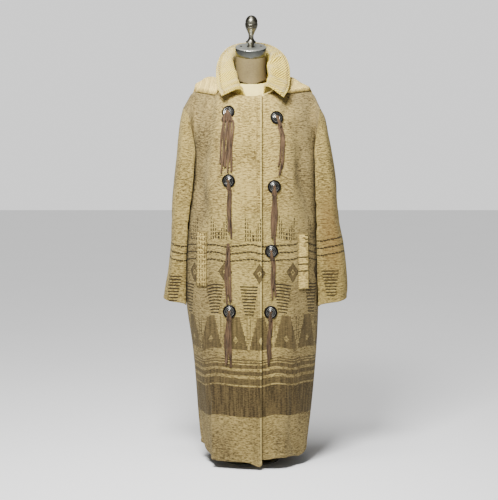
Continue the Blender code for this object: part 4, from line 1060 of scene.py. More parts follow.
hoodShape = {"leftWidening": 0.010, "leftDrop": 0.008, "steps": 76, "underRows": 12, "upperRows": 20,
             "loft": 0.012, "lipDrop": 0.017, "startLift": 0.0018, "lift": 0.0025, "thickness": 0.0032}
hoodNames = ("startShare", "startRise", "foldShare", "foldRise",
             "crestX", "crestY", "crestZ", "edgeX", "edgeY", "edgeZ")
hoodCurves = curvesOf(hoodNames, (
    (0.00, 0.500, 0.955, 0.500, 0.120, 0.000, 0.158, 1.230, 0.000, 0.140, 1.338),
    (0.25, 0.410, 0.955, 0.405, 0.140, 0.058, 0.150, 1.235, 0.054, 0.128, 1.332),
    (0.45, 0.330, 0.945, 0.325, 0.200, 0.098, 0.118, 1.258, 0.088, 0.092, 1.322),
    (0.58, 0.268, 0.980, 0.275, 0.310, 0.117, 0.078, 1.287, 0.104, 0.042, 1.309),
    (0.70, 0.255, 1.080, 0.230, 0.450, 0.128, 0.040, 1.303, 0.108, -0.026, 1.286),
    (0.80, 0.252, 1.200, 0.195, 0.580, 0.138, 0.016, 1.303, 0.113, -0.068, 1.2610),
    (0.90, 0.212, 1.110, 0.158, 0.740, 0.160, 0.000, 1.293, 0.150, -0.046, 1.2670),
    (1.00, 0.150, 1.020, 0.128, 0.900, 0.187, 0.000, 1.281, 0.187, -0.016, 1.2730),
))


def shoulderPoint(share, rise):
    return chestPoint(True, share, 2 - rise) if rise > 1 else chestPoint(False, share, rise)


def shoulderNormal(share, rise):
    across = shoulderPoint(share + 0.01, rise) - shoulderPoint(share - 0.01, rise)
    up = shoulderPoint(share, rise + 0.01) - shoulderPoint(share, rise - 0.01)
    normal = across.cross(up).normalized()
    return normal if normal.z + 0.4 * normal.y > 0 else -normal


def makeHood():
    trees = [treeOf(rightGrid), treeOf(leftGrid), treeOf(backGrid)]
    columns = []
    for i in range(hoodShape["steps"] + 1):
        side = 2 * i / hoodShape["steps"] - 1
        sign = -1 if side < 0 else 1
        at = {name: hoodCurves[name](abs(side)) for name in hoodNames}
        startShare, foldShare = at["startShare"], at["foldShare"]
        if sign > 0:
            startShare, foldShare = 1 - startShare, 1 - foldShare
        column = []
        for j in range(hoodShape["underRows"]):
            t = j / (hoodShape["underRows"] - 1)
            share = startShare + (foldShare - startShare) * t
            rise = at["startRise"] + (at["foldRise"] - at["startRise"]) * t
            clear = coat["wall"] / 2 + (hoodShape["startLift"] if j == 0 else hoodShape["lift"])
            column.append(shoulderPoint(share, rise) + shoulderNormal(share, rise) * clear)
        base = shoulderPoint(foldShare, at["foldRise"])
        outward = shoulderNormal(foldShare, at["foldRise"])
        down = (column[-1] - column[-2]).normalized()
        loft = hoodShape["loft"] * (1 - 0.45 * ease(0.85, 1.0, abs(side)))
        start = base + outward * (coat["wall"] + loft)
        turned = base + outward * (coat["wall"] + loft * 0.55) + down * 0.010
        for t in (0.35, 0.75):
            column.append(column[-1].lerp(turned, t))
        column.append(turned)
        column.append(turned.lerp(start, 0.5) + down * 0.002)
        widening = hoodShape["leftWidening"] * max(side, 0)
        drop = hoodShape["leftDrop"] * max(side, 0)
        crest = Vector((sign * at["crestX"] + widening, at["crestY"], at["crestZ"] - drop))
        end = Vector((sign * at["edgeX"] + widening, at["edgeY"], at["edgeZ"]))
        line = pathOf((0, 0.5, 1), (start, crest, end))
        for j in range(hoodShape["upperRows"]):
            t = j / (hoodShape["upperRows"] - 1)
            ripple = 0.0042 * math.sin(math.pi * t) * math.sin(8.0 * side + 2.6 * t + 0.6)
            ripple += 0.0024 * math.sin(math.pi * t) ** 2 * math.sin(19 * side - 3.0 * t + 1.3)
            column.append(line(t) + Vector((0, ripple, ripple)) * (1 if abs(side) < 0.9 else 0.4))
        # the free edge turns down until it rests on the shoulder
        found = [tree.ray_cast(end + Vector((0, 0.005, 0.04)), Vector((0, 0, -1)))[0] for tree in trees]
        heights = [hit.z for hit in found if hit is not None]
        low = max(max(heights) + 0.0026, end.z - hoodShape["lipDrop"]) if heights else end.z - 0.010
        rest = Vector((end.x, end.y + 0.005, min(low, end.z - 0.004)))
        column.append(end.lerp(rest, 0.35) + Vector((0, -0.0030, 0)))
        column.append(end.lerp(rest, 0.75) + Vector((0, -0.0020, 0)))
        column.append(rest)
        columns.append(column)
    grid = np.array(columns).transpose(1, 0, 2)
    steps = np.linalg.norm(np.diff(grid, axis=0), axis=2)
    heights = np.concatenate([np.zeros((1, grid.shape[1])), np.cumsum(steps, axis=0)])
    lengths = rowLengths(grid)
    return grid, np.stack([lengths, heights], axis=2)


hoodGrid, hoodCloth = makeHood()
hoodItem = makeSheet("hoodPiece", "hood", hoodGrid, hoodCloth, hoodShape["thickness"], plainWool,
                     (0.0, 0.0, 0.9), offset=0.0)
print("hood ready")

# what lies on the fronts is set on the fronts' own points

frontTrees = [treeOf(rightGrid), treeOf(leftGrid)]


def onFront(across, height):
    start = Vector((across, -1.0, height))
    found = [tree.ray_cast(start, Vector((0, 1, 0)))[0] for tree in frontTrees]
    return min((hit for hit in found if hit is not None), key=lambda point: point.y)


def frontNormal(across, height, reach):
    right = onFront(across + reach, height) - onFront(across - reach, height)
    up = onFront(across, height + reach) - onFront(across, height - reach)
    normal = right.cross(up).normalized()
    return normal if normal.y < 0 else -normal


def frontSeat(across, height, reach):
    middle = onFront(across, height)
    normal = frontNormal(across, height, reach)
    proud = 0.0
    for turn in turnsOf(24):
        for far in (0.5 * reach, reach):
            point = onFront(across + far * math.cos(turn), height + far * math.sin(turn))
            proud = max(proud, (point - middle).dot(normal))
    return middle + normal * proud, normal


welts = {
    "width": 0.034, "long": 0.182, "thickness": 0.0052, "gap": 0.0009, "stitchIn": 0.0045,
    "rows": 44, "columns": 14, "cutFrom": (0.40, 1.20),
    "right": {"node": "pocket_welt_right", "top": (-0.1600, 0.794), "bottom": (-0.1620, 0.612)},
    "left": {"node": "pocket_welt_left", "top": (0.1700, 0.786), "bottom": (0.1730, 0.602)},
}


def makeWelt(name, side):
    row = welts[side]
    rows, columns = welts["rows"], welts["columns"]
    inner = np.zeros((rows + 1, columns + 1, 3))
    outer = np.zeros((rows + 1, columns + 1, 3))
    cloth = np.zeros((rows + 1, columns + 1, 2))
    for j in range(rows + 1):
        t = j / rows
        height = row["bottom"][1] + (row["top"][1] - row["bottom"][1]) * t
        middle = row["bottom"][0] + (row["top"][0] - row["bottom"][0]) * t
        for i in range(columns + 1):
            across = middle + welts["width"] * (i / columns - 0.5)
            point = onFront(across, height)
            slope = onFront(across + 0.004, height) - onFront(across - 0.004, height)
            normal = Vector((slope.y, -slope.x, 0)).normalized()
            normal = normal if normal.y < 0 else -normal
            fromEdge = min(min(i, columns - i) / columns * welts["width"], min(t, 1 - t) * welts["long"])
            lift = welts["thickness"] - 0.0011 * hill(fromEdge - welts["stitchIn"], 0.0015)
            lift -= 0.0012 * hill(fromEdge, 0.0016)
            inner[j, i] = point + normal * welts["gap"]
            outer[j, i] = point + normal * (welts["gap"] + lift)
            cloth[j, i] = (across + welts["cutFrom"][0], height + welts["cutFrom"][1])
    built = bmesh.new()
    uv = built.loops.layers.uv.new("cloth")
    top = [[built.verts.new(outer[j, i]) for i in range(columns + 1)] for j in range(rows + 1)]
    low = [[built.verts.new(inner[j, i]) for i in range(columns + 1)] for j in range(rows + 1)]
    flat = {}
    for j in range(rows + 1):
        for i in range(columns + 1):
            flat[top[j][i]] = flat[low[j][i]] = cloth[j, i]
    for j in range(rows):
        for i in range(columns):
            built.faces.new((top[j][i], top[j][i + 1], top[j + 1][i + 1], top[j + 1][i]))
            built.faces.new((low[j][i], low[j + 1][i], low[j + 1][i + 1], low[j][i + 1]))
    for i in range(columns):
        built.faces.new((top[0][i + 1], top[0][i], low[0][i], low[0][i + 1]))
        built.faces.new((top[-1][i], top[-1][i + 1], low[-1][i + 1], low[-1][i]))
    for j in range(rows):
        built.faces.new((top[j][0], top[j + 1][0], low[j + 1][0], low[j][0]))
        built.faces.new((top[j + 1][-1], top[j][-1], low[j][-1], low[j + 1][-1]))
    for face in built.faces:
        for loop in face.loops:
            loop[uv].uv = flat[loop.vert]
    item = addPiece(name, built, weltWools[side])
    rounding = item.modifiers.new("soft", "SUBSURF")
    rounding.levels = rounding.render_levels = 1
    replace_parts(item, row["node"])
    return item


weltRight = makeWelt("weltRight", "right")
weltLeft = makeWelt("weltLeft", "left")
print("welts ready")


# sewing: short stitches along paths on the cloth

stitch = {"long": 0.0034, "thick": 0.00045, "pitch": 0.0052}


def addStitches(built, points, normals, sides=5):
    distances = [0.0]
    for a, b in zip(points, points[1:]):
        distances.append(distances[-1] + (b - a).length)
    line, way = pathOf(distances, points), pathOf(distances, normals)
    for n in range(int(distances[-1] / stitch["pitch"])):
        rings = []
        for share in (0.0, 0.12, 0.5, 0.88, 1.0):
            at = (n + 0.2) * stitch["pitch"] + stitch["long"] * share
            middle = line(at)
            normal = way(at).normalized()
            across = (line(at + 0.001) - middle).normalized().cross(normal).normalized()
            thick = stitch["thick"] * (0.25 if share in (0.0, 1.0) else 1.0)
            middle += normal * (0.0005 * math.sin(math.pi * share) - 0.0002)
            spokes = [normal * math.sin(turn) + across * math.cos(turn) for turn in turnsOf(sides)]
            rings.append([built.verts.new(middle + spoke * thick) for spoke in spokes])
        joinRings(built, rings)


def makeThread(name, colour):
    material, tree = newMaterial(name, roughness=0.8)
    setLook(tree, mixColour(noiseAt(objectPlace(tree), 1800.0), colour, tuple(0.6 * c for c in colour)))
    return material


thread = makeThread("sewing_thread", (0.26, 0.19, 0.08))
sewing = bmesh.new()


# points and outward normals along one row or column of a grid
def gridPath(grid, picked, sign):
    normals = gridNormals(grid) * sign
    return [Vector(point) for point in grid[picked]], [Vector(normal) for normal in normals[picked]]


for grid in (rightGrid, leftGrid):
    sign = outwardSign(grid, (0, 0, 0.6))
    addStitches(sewing, *gridPath(grid, np.s_[:, -5], sign))
    addStitches(sewing, *gridPath(grid, 3, sign))
addStitches(sewing, *gridPath(backGrid, 3, outwardSign(backGrid, (0, 0, 0.6))))
for grid in (sleeveRightGrid, sleeveLeftGrid):
    closed = np.concatenate([grid, grid[:, :1]], axis=1)
    addStitches(sewing, *gridPath(closed, -4, outwardSign(closed, grid[40].mean(axis=0))))
for side in ("right", "left"):
    row = welts[side]
    inset = welts["width"] / 2 - welts["stitchIn"]
    for aside in (-inset, inset):
        points, normals = [], []
        for k in range(24):
            t = 0.03 + 0.94 * k / 23
            height = row["bottom"][1] + (row["top"][1] - row["bottom"][1]) * t
            across = row["bottom"][0] + (row["top"][0] - row["bottom"][0]) * t + aside
            normal = frontNormal(across, height, 0.004)
            points.append(onFront(across, height) + normal * (welts["gap"] + welts["thickness"] - 0.0009))
            normals.append(normal)
        addStitches(sewing, points, normals)
addPiece("seamStitches", sewing, thread)

collarSewing = bmesh.new()
collarSide = -1.0 if np.dot(gridNormals(collarGrid)[12, 44], (0, 1, -0.4)) > 0 else 1.0
for picked in (np.s_[-5, 5:-5], np.s_[6:-4, 4], np.s_[6:-4, -5]):
    points, normals = gridPath(collarGrid, picked, collarSide)
    proud = [point + normal * collarShape["thickness"] / 2 for point, normal in zip(points, normals)]
    addStitches(collarSewing, proud, normals)
addPiece("collarStitches", collarSewing, makeThread("collar_thread", (0.30, 0.22, 0.09)))
print("sewing ready")

# conchos and tassels

concho = {
    "sides": 72,
    # radius and height, from the back up to the dome's top
    "rows": ((0.0210, 0.0000), (0.0219, 0.0005), (0.0222, 0.0014), (0.0217, 0.0026), (0.0204, 0.0034),
             (0.0190, 0.0034), (0.0180, 0.0024), (0.0172, 0.0024), (0.0163, 0.0040), (0.0150, 0.0048),
             (0.0136, 0.0046), (0.0128, 0.0034), (0.0121, 0.0034), (0.0113, 0.0048), (0.0100, 0.0054),
             (0.0088, 0.0050), (0.0082, 0.0040), (0.0076, 0.0040), (0.0068, 0.0054), (0.0054, 0.0061),
             (0.0034, 0.0065), (0.0012, 0.0066)),
    "dark": ((0.0162, 0.0230), (0.0110, 0.0136), (0.0062, 0.0088)),
    "beadRing": (0.0190, 0.0204),
    "radius": 0.0222,
    "high": 0.0066,
}
tassels = (
    # name, across, height, with a concho, end across, end height, spread, strips, bow
    ("right_1", -0.0735, 1.186, True, -0.0840, 0.985, 0.0430, 7, 0.001),
    ("right_2", -0.0728, 0.962, True, -0.0710, 0.770, 0.0150, 3, 0.002),
    ("right_3", -0.0740, 0.752, False, -0.0720, 0.552, 0.0200, 4, -0.003),
    ("right_4", -0.0703, 0.532, True, -0.0740, 0.345, 0.0260, 4, -0.003),
    ("left_1", 0.0838, 1.168, True, 0.0930, 0.975, 0.0160, 3, 0.016),
    ("left_2", 0.0763, 0.943, True, 0.0740, 0.750, 0.0190, 4, 0.002),
    ("left_3", 0.0680, 0.731, True, 0.0740, 0.572, 0.0150, 3, 0.003),
    ("left_4", 0.0657, 0.529, True, 0.0600, 0.345, 0.0130, 3, -0.001),
)
strip = {"width": 0.0078, "thickness": 0.0013, "pitch": 0.0052, "closePitch": 0.0036, "lift": 0.0022,
         "steps": 26, "layer": 0.0016}
knotShape = {"radius": 0.0052, "flatness": 0.42, "up": 0.0021, "seat": 0.0070, "gap": 0.0006}


def makeMetal(name, colours, roughness, scale, bump):
    material, tree = newMaterial(name, metallic=1.0)
    place = objectPlace(tree)
    wear = noiseAt(place, scale, 4.0, 0.6)
    fine = noiseAt(place, scale * 9)
    colour = mixColour(clamped((wear - 0.5) * 3.0 + 0.5), *colours)
    setLook(tree, colour, fine + wear, bump, 0.0003, wear * 0.22 + (roughness - 0.11))
    return material


conchoMetal = makeMetal("concho_silver", ((0.060, 0.060, 0.055), (0.260, 0.260, 0.240)), 0.30, 200.0, 0.06)
conchoBlack = makeMetal("concho_patina", ((0.004, 0.004, 0.004), (0.020, 0.019, 0.017)), 0.42, 260.0, 0.15)


def deselectAll():
    for item in bpy.context.selected_objects:
        item.select_set(False)


# drawn up ring by ring from a circle, as on a lathe
def turnPiece(name, rows, sides, angle=35.0):
    deselectAll()
    bpy.ops.mesh.primitive_circle_add(vertices=sides, radius=rows[0][0], fill_type="NGON", location=(0, 0, 0))
    item = bpy.context.object
    item.name = name
    bpy.ops.object.mode_set(mode="EDIT")
    bpy.ops.mesh.select_all(action="SELECT")
    for (r0, h0), (r1, h1) in zip(rows, rows[1:]):
        bpy.ops.mesh.extrude_region_move(TRANSFORM_OT_translate={"value": (0, 0, h1 - h0)})
        bpy.ops.transform.resize(value=(r1 / r0, r1 / r0, 1))
    bpy.ops.mesh.select_all(action="SELECT")
    bpy.ops.mesh.normals_make_consistent(inside=False)
    bpy.ops.object.mode_set(mode="OBJECT")
    bpy.ops.object.shade_smooth_by_angle(angle=math.radians(angle))
    return item


def turnInto(item, place, direction):
    turn = upward.rotation_difference(direction).to_matrix().to_4x4()
    turn.translation = place
    item.data.transform(turn)


def selectFaces(item, wanted):
    bpy.ops.object.mode_set(mode="EDIT")
    bpy.ops.mesh.select_mode(type="FACE")
    bpy.ops.mesh.select_all(action="DESELECT")
    bpy.ops.object.mode_set(mode="OBJECT")
    for face in item.data.polygons:
        face.select = wanted(face.center)
    bpy.ops.object.mode_set(mode="EDIT")


def makeConcho():
    item = turnPiece("conchoDisc", concho["rows"], concho["sides"])
    low, high = concho["beadRing"]

    def onBead(place):
        step = math.degrees(math.atan2(place.y, place.x)) % 360 / (360 / concho["sides"])
        return low < math.hypot(place.x, place.y) < high and place.z > 0.003 and int(step) % 2 == 0

    selectFaces(item, onBead)
    bpy.ops.mesh.inset(thickness=0.00018, depth=0.00045, use_individual=True)
    bpy.ops.object.mode_set(mode="OBJECT")
    item.data.materials.append(conchoMetal)
    item.data.materials.append(conchoBlack)
    for face in item.data.polygons:
        far = math.hypot(face.center.x, face.center.y)
        if face.center.z > 0.0001 and any(a < far < b for a, b in concho["dark"]):
            face.material_index = 1
    return item


conchoDisc = makeConcho()


def placeConcho(name, seat, normal):
    item = conchoDisc.copy()
    item.data = conchoDisc.data.copy()
    item.name = item.data.name = "concho_" + name + "_metal"
    bpy.context.scene.collection.objects.link(item)
    turnInto(item, seat, normal)
    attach(item, "root")
    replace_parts(item, "concho_" + name)


def makeSuede(name):
    material, tree = newMaterial(name, roughness=0.88, sheen=0.10, specular=0.2)
    place = objectPlace(tree)
    nap = noiseAt(place, 900.0, 3.0, 0.6)
    shade = grainAt(place, 160.0, 160.0, 26.0, 3.0)
    mixed = clamped(nap * 0.4 + (shade - 0.5) * 2.2 + 0.3)
    setLook(tree, mixColour(mixed, (0.120, 0.069, 0.034), (0.012, 0.007, 0.003)), nap, 0.5, 0.0006)
    return material


suede = makeSuede("suede")
# how far below the disc's middle the strips pass, and how far they stand off there
drape = ((0.0110, 0.0070), (0.0205, 0.0052), (0.0290, 0.0036))


def addStrip(built, points, ways, seed):
    rings = []
    count = len(points)
    for i, point in enumerate(points):
        ahead = (points[min(i + 1, count - 1)] - points[max(i - 1, 0)]).normalized()
        twist = 0.30 * math.sin(seed + 5.0 * i / count) * min(1.0, i / 6)
        way = ways[i].normalized()
        across = ahead.cross(way).normalized()
        across, way = (across * math.cos(twist) + way * math.sin(twist),
                       way * math.cos(twist) - across * math.sin(twist))
        width = strip["width"] * (0.86 + 0.18 * math.sin(2.7 * seed + 9.0 * i / count)) / 2
        width *= 0.55 + 0.45 * min(1.0, i / 6)  # narrow where it comes out of the disc
        if i == count - 1:
            width *= 0.45
        deep = strip["thickness"] / 2
        corners = ((width, deep * 0.5), (width * 0.7, deep), (-width * 0.7, deep), (-width, deep * 0.5),
                   (-width, -deep * 0.5), (-width * 0.7, -deep), (width * 0.7, -deep), (width, -deep * 0.5))
        rings.append([built.verts.new(point + across * a + way * b) for a, b in corners])
    joinRings(built, rings)


def makeTassel(row):
    name, across, height, covered, endAcross, end, spread, strips, bow = row
    seat, normal = frontSeat(across, height, concho["radius"] if covered else knotShape["seat"])
    seat = seat + normal * knotShape["gap"]
    foot = seat + normal * (concho["high"] if covered else 0.0)
    built = bmesh.new()
    radius = knotShape["radius"]
    knot = bmesh.ops.create_uvsphere(built, u_segments=18, v_segments=10, radius=radius)["verts"]
    lie = upward.rotation_difference(normal).to_matrix()
    for vert in knot:
        vert.co.z *= knotShape["flatness"]
        vert.co.z += knotShape["up"] + 0.0004 * math.sin(9 * math.atan2(vert.co.y, vert.co.x))
        vert.co = foot + lie @ vert.co
    right = normal.cross(upward).normalized()
    right = right if right.x > 0 else -right
    up = (upward - normal * normal.z).normalized()
    for i in range(strips):
        even = (i + 0.5) / strips - 0.5
        startAcross = even * strips * (strip["pitch"] if strips > 4 else strip["closePitch"])
        endX = endAcross + even * spread
        endZ = end + 0.035 * (0.5 + 0.5 * math.sin(2.4 * i + 7 * height))
        layer = strip["layer"] * (i % 2)
        points = [foot + right * startAcross * 0.25 + normal * (0.0018 + layer)]
        ways = [normal]
        if covered:
            for below, off in drape:
                t = below / (height - endZ)
                aside = startAcross * min(1.0, below / 0.021) + (endX - across - startAcross) * t**0.9
                aside += bow * math.sin(math.pi * t)
                points.append(seat + right * aside - up * below + normal * (off + layer))
                ways.append(normal)
        firstStep = 4 if covered else 2
        for j in range(firstStep, strip["steps"] + 1):
            t = j / strip["steps"]
            z = height + (endZ - height) * t
            x = across + startAcross + (endX - across - startAcross) * t**0.9 + bow * math.sin(math.pi * t)
            x += 0.0016 * min(1.0, 5 * t) * math.sin(3.1 * i + 8.0 * t)
            wave = 0.0012 * (1 + math.sin(2.1 * i + 6 * t)) + layer
            cloth = onFront(x, z)
            points.append(Vector((x, cloth.y - strip["lift"] - wave, z)))
            ways.append(frontNormal(x, z, 0.003))
        line, turning = pathOf(range(len(points)), points), pathOf(range(len(points)), ways)
        halves = [k / 2 for k in range(2 * len(points) - 1)]
        addStrip(built, [line(at) for at in halves], [turning(at) for at in halves], 1.7 * i + 10 * across)
    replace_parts(addPiece("tassel_" + name + "_suede", built, suede), "tassel_" + name)
    if covered:
        placeConcho(name, seat, normal)


for row in tassels:
    makeTassel(row)
bpy.data.objects.remove(conchoDisc, do_unlink=True)
print("conchos and tassels ready")

# the dress form

form = {
    "neckRadius": 0.0515, "baseFront": 1.279, "baseBack": 1.300, "baseMiddle": 0.002,
    "tilt": math.radians(19.0),
    "capMiddle": Vector((0.0, -0.012, 1.4055)), "capRadius": 0.0525, "capThickness": 0.026,
}
capAxis = Vector((0, -math.sin(form["tilt"]), math.cos(form["tilt"])))
capSide = Vector((0, capAxis.z, -capAxis.y))


def makeLinen(name, light, deep):
    material, tree = newMaterial(name, roughness=0.82, specular=0.25)
    place = objectPlace(tree)
    weave = grainAt(place, 1500.0, 1500.0, 120.0, 1.0) + grainAt(place, 120.0, 120.0, 1500.0, 1.0)
    mixed = clamped((weave - 0.9) * 0.9 + (noiseAt(place, 14.0, 3.0) - 0.4) * 1.4)
    setLook(tree, mixColour(mixed, light, deep), weave, 0.45, 0.0006)
    return material


neckLinen = makeLinen("neck_linen", (0.150, 0.114, 0.048), (0.062, 0.044, 0.017))
chestLinen = makeLinen("chest_linen", (0.660, 0.540, 0.185), (0.460, 0.360, 0.105))


def neckBase(turn):
    share = (1 + math.sin(turn)) / 2
    height = form["baseFront"] + (form["baseBack"] - form["baseFront"]) * share
    return Vector(((form["neckRadius"] + 0.003) * math.cos(turn),
                   form["baseMiddle"] + (form["neckRadius"] + 0.006) * math.sin(turn), height))


def makeNeck():
    shares = (0.0, 0.012, 0.03, 0.06, 0.10, 0.16, 0.24, 0.33, 0.42, 0.5, 0.6, 0.7, 0.8, 0.9, 0.96, 0.985, 1.0)
    built = bmesh.new()
    top = form["capMiddle"] - capAxis * (form["capThickness"] + 0.0006)
    rings = []
    for share in shares:
        waist = 0.985 * (1 - 0.035 * math.sin(math.pi * share)) * (0.985 if share in (0.0, 1.0) else 1)
        ring = []
        for turn in turnsOf(96):
            low = neckBase(turn) + upward * 0.0010
            # the linen ends in a shallow point at the front
            low.z += 0.0085 * (1 - hill(turn - 1.5 * math.pi, 0.62)) * (1 if math.sin(turn) < 0 else 0.5)
            aside = Vector((math.cos(turn), 0, 0)) + capSide * math.sin(turn)
            point = low.lerp(top + aside * form["neckRadius"], share)
            seam = hill((turn - 1.5 * math.pi) * form["neckRadius"], 0.0012)
            point.x *= waist * (1 - 0.008 * seam)
            if math.sin(turn) < -0.98:
                point.y += 0.0007 * seam
            ring.append(built.verts.new(point))
        rings.append(ring)
    joinRings(built, rings)
    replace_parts(addPiece("neckForm", built, neckLinen), "form_neck")


# the form's covered chest between the neckline and the neck's foot
def makeChest():
    built = bmesh.new()
    rings = []
    for share in (0.0, 0.12, 0.28, 0.46, 0.64, 0.82, 0.94, 1.0):
        ring = []
        for turn in turnsOf(96):
            aside, along = math.cos(turn), math.sin(turn)
            reach = coat["neckFront"] if along < 0 else coat["neckBack"]
            rise = -coat["neckFrontDrop"] if along < 0 else coat["neckBackRise"]
            low = Vector((coat["neckHalfWidth"] * aside * 0.935,
                          coat["neckMiddle"] + (reach - 0.0160) * along,
                          coat["neckHeight"] + rise * abs(along) - 0.0095))
            point = low.lerp(neckBase(turn), share)
            point.z += 0.0040 * math.sin(math.pi * share) * (1 if along < 0 else 0.3) + 0.0006
            ring.append(built.verts.new(point))
        rings.append(ring)
    joinRings(built, rings, capped=False)
    shell = addPiece("chestCover", built, chestLinen).modifiers.new("wall", "SOLIDIFY")
    shell.thickness = 0.0005


makeNeck()
makeChest()
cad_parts["form_torso"].data.materials.clear()
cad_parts["form_torso"].data.materials.append(chestLinen)

cap = {"bevel": 0.0015, "lip": 0.0060, "screws": (-0.0330, 0.0335),
       "screwRadius": 0.0042, "screwHeight": 0.0014}


def makeBrushed(name, light, deep, roughness):
    material, tree = newMaterial(name, metallic=1.0)
    place = objectPlace(tree)
    lines = grainAt(place, 30.0, 30.0, 1700.0)
    colour = mixColour(noiseAt(place, 55.0, 3.0), light, deep)
    setLook(tree, colour, lines, 0.10, 0.0002, lines * 0.20 + roughness)
    return material


# the cap's top and band are one brushed metal: the top's lighter copy is painted light, the band's dark copy
# is a painted dark reflection
capTopPaintedLight = makeBrushed("brushed_cap_top_painted_light", (0.800, 0.810, 0.730), (0.520, 0.530, 0.480), 0.32)
capBandPaintedReflection = makeBrushed("brushed_cap_band_painted_reflection", (0.165, 0.170, 0.154), (0.082, 0.086, 0.077), 0.12)


def roundEdges(item, height, offset, segments):
    bpy.ops.object.mode_set(mode="EDIT")
    bpy.ops.mesh.select_mode(type="EDGE")
    bpy.ops.mesh.select_all(action="DESELECT")
    bpy.ops.object.mode_set(mode="OBJECT")
    places = [vert.co.z for vert in item.data.vertices]
    for edge in item.data.edges:
        edge.select = all(abs(places[k] - height) < 1e-5 for k in edge.vertices)
    bpy.ops.object.mode_set(mode="EDIT")
    bpy.ops.mesh.bevel(offset=offset, segments=segments, affect="EDGES")
    bpy.ops.object.mode_set(mode="OBJECT")


# a short cylinder with rounded edges and a raised lip, standing on the origin
def makeDisc(name, radius, height, sides, bevel, inset, sink):
    deselectAll()
    bpy.ops.mesh.primitive_cylinder_add(vertices=sides, radius=radius, depth=height, location=(0, 0, 0))
    item = bpy.context.object
    item.name = name
    roundEdges(item, height / 2, bevel, 3)
    roundEdges(item, -height / 2, bevel * 0.6, 2)
    selectFaces(item, lambda place: place.z > height / 2 - 1e-5 and place.xy.length < radius * 0.2)
    bpy.ops.mesh.inset(thickness=inset, depth=0.0)
    bpy.ops.mesh.inset(thickness=inset * 0.1, depth=sink)
    bpy.ops.mesh.inset(thickness=inset, depth=0.0)
    bpy.ops.object.mode_set(mode="OBJECT")
    bpy.ops.object.shade_smooth_by_angle(angle=math.radians(30))
    item.data.transform(Matrix.Translation((0, 0, height / 2)))
    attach(item, "root")
    return item


neckCap = makeDisc("neckCap", form["capRadius"], form["capThickness"], 128, cap["bevel"], cap["lip"], 0.0003)
turnInto(neckCap, form["capMiddle"] - capAxis * form["capThickness"], capAxis)
neckCap.data.materials.append(capTopPaintedLight)
neckCap.data.materials.append(capBandPaintedReflection)
for face in neckCap.data.polygons:
    face.material_index = 0 if face.normal.dot(capAxis) > 0.5 else 1
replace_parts(neckCap, "neck_cap")

screwMetal = makeMetal("dark_screw", ((0.020, 0.018, 0.014), (0.070, 0.066, 0.054)), 0.40, 220.0, 0.2)
for name, across in zip(("capScrewRight", "capScrewLeft"), cap["screws"]):
    screw = makeDisc(name, cap["screwRadius"], cap["screwHeight"], 24, 0.0005, 0.0012, -0.0003)
    turnInto(screw, form["capMiddle"] + Vector((across, 0, 0)) + capSide * 0.0040 + capAxis * 0.0004, capAxis)
    screw.data.materials.append(screwMetal)

# radius and height, from the foot to the top
finialRows = (
    (0.0130, 0.0000), (0.0131, 0.0010), (0.0118, 0.0024), (0.0098, 0.0040), (0.0095, 0.0062),
    (0.0108, 0.0085), (0.0112, 0.0105), (0.0100, 0.0122), (0.0102, 0.0134), (0.0160, 0.0146),
    (0.0174, 0.0156), (0.0175, 0.0164), (0.0164, 0.0176), (0.0132, 0.0204), (0.0102, 0.0244),
    (0.0086, 0.0290), (0.0083, 0.0340), (0.0086, 0.0390), (0.0098, 0.0440), (0.0122, 0.0500),
    (0.0152, 0.0560), (0.0180, 0.0620), (0.0200, 0.0672), (0.0203, 0.0684), (0.0196, 0.0692),
    (0.0196, 0.0700), (0.0208, 0.0712), (0.0213, 0.0750), (0.0210, 0.0790), (0.0202, 0.0804),
    (0.0190, 0.0812), (0.0190, 0.0826), (0.0203, 0.0836), (0.0204, 0.0856), (0.0196, 0.0892),
    (0.0179, 0.0940), (0.0151, 0.0985), (0.0112, 0.1023), (0.0064, 0.1047), (0.0012, 0.1055),
)
pewter = makeMetal("antique_pewter", ((0.050, 0.044, 0.030), (0.165, 0.158, 0.125)), 0.34, 60.0, 0.12)
finialPiece = turnPiece("finialPiece", finialRows, 96)
turnInto(finialPiece, form["capMiddle"] + capAxis * 0.0008, (capAxis + Vector((0.024, 0, 0))).normalized())
finialPiece.data.materials.append(pewter)
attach(finialPiece, "root")
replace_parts(finialPiece, "finial")

standMetal = makeBrushed("stand_steel", (0.300, 0.310, 0.290), (0.160, 0.165, 0.155), 0.20)
for node in ("pole", "base"):
    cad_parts[node].data.materials.clear()
    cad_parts[node].data.materials.append(standMetal)
print("dress form ready")

# studio: pale floor, soft light, camera

studio = {"floor": 30.0, "world": 0.20, "backdrop": 1.5, "key": 118.0, "fill": 5.0, "sun": 2.3,
          "lens": 63.53, "camera": (-0.0061, -4.4829, 1.1142), "cameraTilt": 85.0}

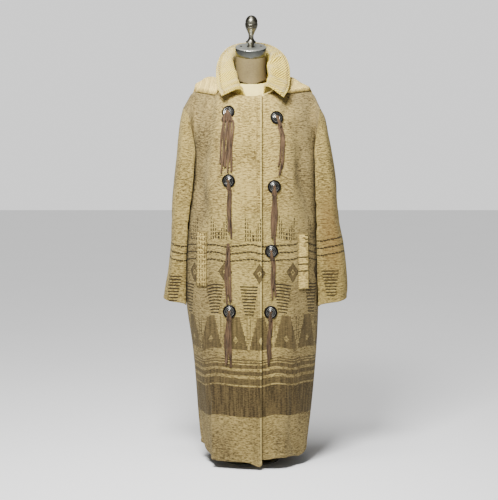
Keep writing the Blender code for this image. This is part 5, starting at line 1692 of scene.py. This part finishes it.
bpy.ops.mesh.primitive_plane_add(size=studio["floor"], location=(0, 0, 0))
floor = bpy.context.object
floor.name = "studioFloor"
floorPaint, tree = newMaterial("pale_floor", roughness=0.9)
setLook(tree, mixColour(noiseAt(objectPlace(tree), 1.2), (0.93, 0.93, 0.93), (0.90, 0.90, 0.90)))
floor.data.materials.append(floorPaint)

world = bpy.data.worlds.new("studioWorld")
bpy.context.scene.world = world
world.use_nodes = True
sky = world.node_tree
sky.nodes["Background"].inputs["Color"].default_value = (1.0, 1.0, 1.0, 1.0)
sky.nodes["Background"].inputs["Strength"].default_value = studio["world"]
backdrop = sky.nodes.new("ShaderNodeBackground")  # what is seen behind the coat is paler than the light
backdrop.inputs["Strength"].default_value = studio["backdrop"]
seen = sky.nodes.new("ShaderNodeLightPath")
either = sky.nodes.new("ShaderNodeMixShader")
sky.links.new(seen.outputs["Is Camera Ray"], either.inputs["Fac"])
sky.links.new(sky.nodes["Background"].outputs["Background"], either.inputs[1])
sky.links.new(backdrop.outputs["Background"], either.inputs[2])
sky.links.new(either.outputs["Shader"], sky.nodes["World Output"].inputs["Surface"])


def addLight(name, place, target, size, power):
    lamp = bpy.data.lights.new(name, "AREA")
    lamp.size = size
    lamp.energy = power
    item = addObject(name, lamp)
    item.location = place
    item.rotation_euler = (Vector(target) - Vector(place)).to_track_quat("-Z", "Y").to_euler()


addLight("keyLight", (-0.35, -1.35, 2.25), (0, 0, 1.12), 0.6, studio["key"])
addLight("fillLight", (2.4, -2.6, 1.6), (0, 0, 0.8), 2.2, studio["fill"])
overhead = bpy.data.lights.new("overheadLight", "SUN")
overhead.energy = studio["sun"]
overhead.angle = math.radians(28.0)
overheadItem = addObject("overheadLight", overhead)
overheadItem.rotation_euler = Vector((0.16, 0.24, -1.0)).to_track_quat("-Z", "Y").to_euler()

cameraData = bpy.data.cameras.new("photoCamera")
cameraData.sensor_fit = "VERTICAL"
cameraData.sensor_height = 24.0
cameraData.lens = studio["lens"]
cameraItem = addObject("photoCamera", cameraData)
cameraItem.location = studio["camera"]
cameraItem.rotation_euler = (math.radians(studio["cameraTilt"]), 0.0, 0.0)
bpy.context.scene.camera = cameraItem
print("studio ready")
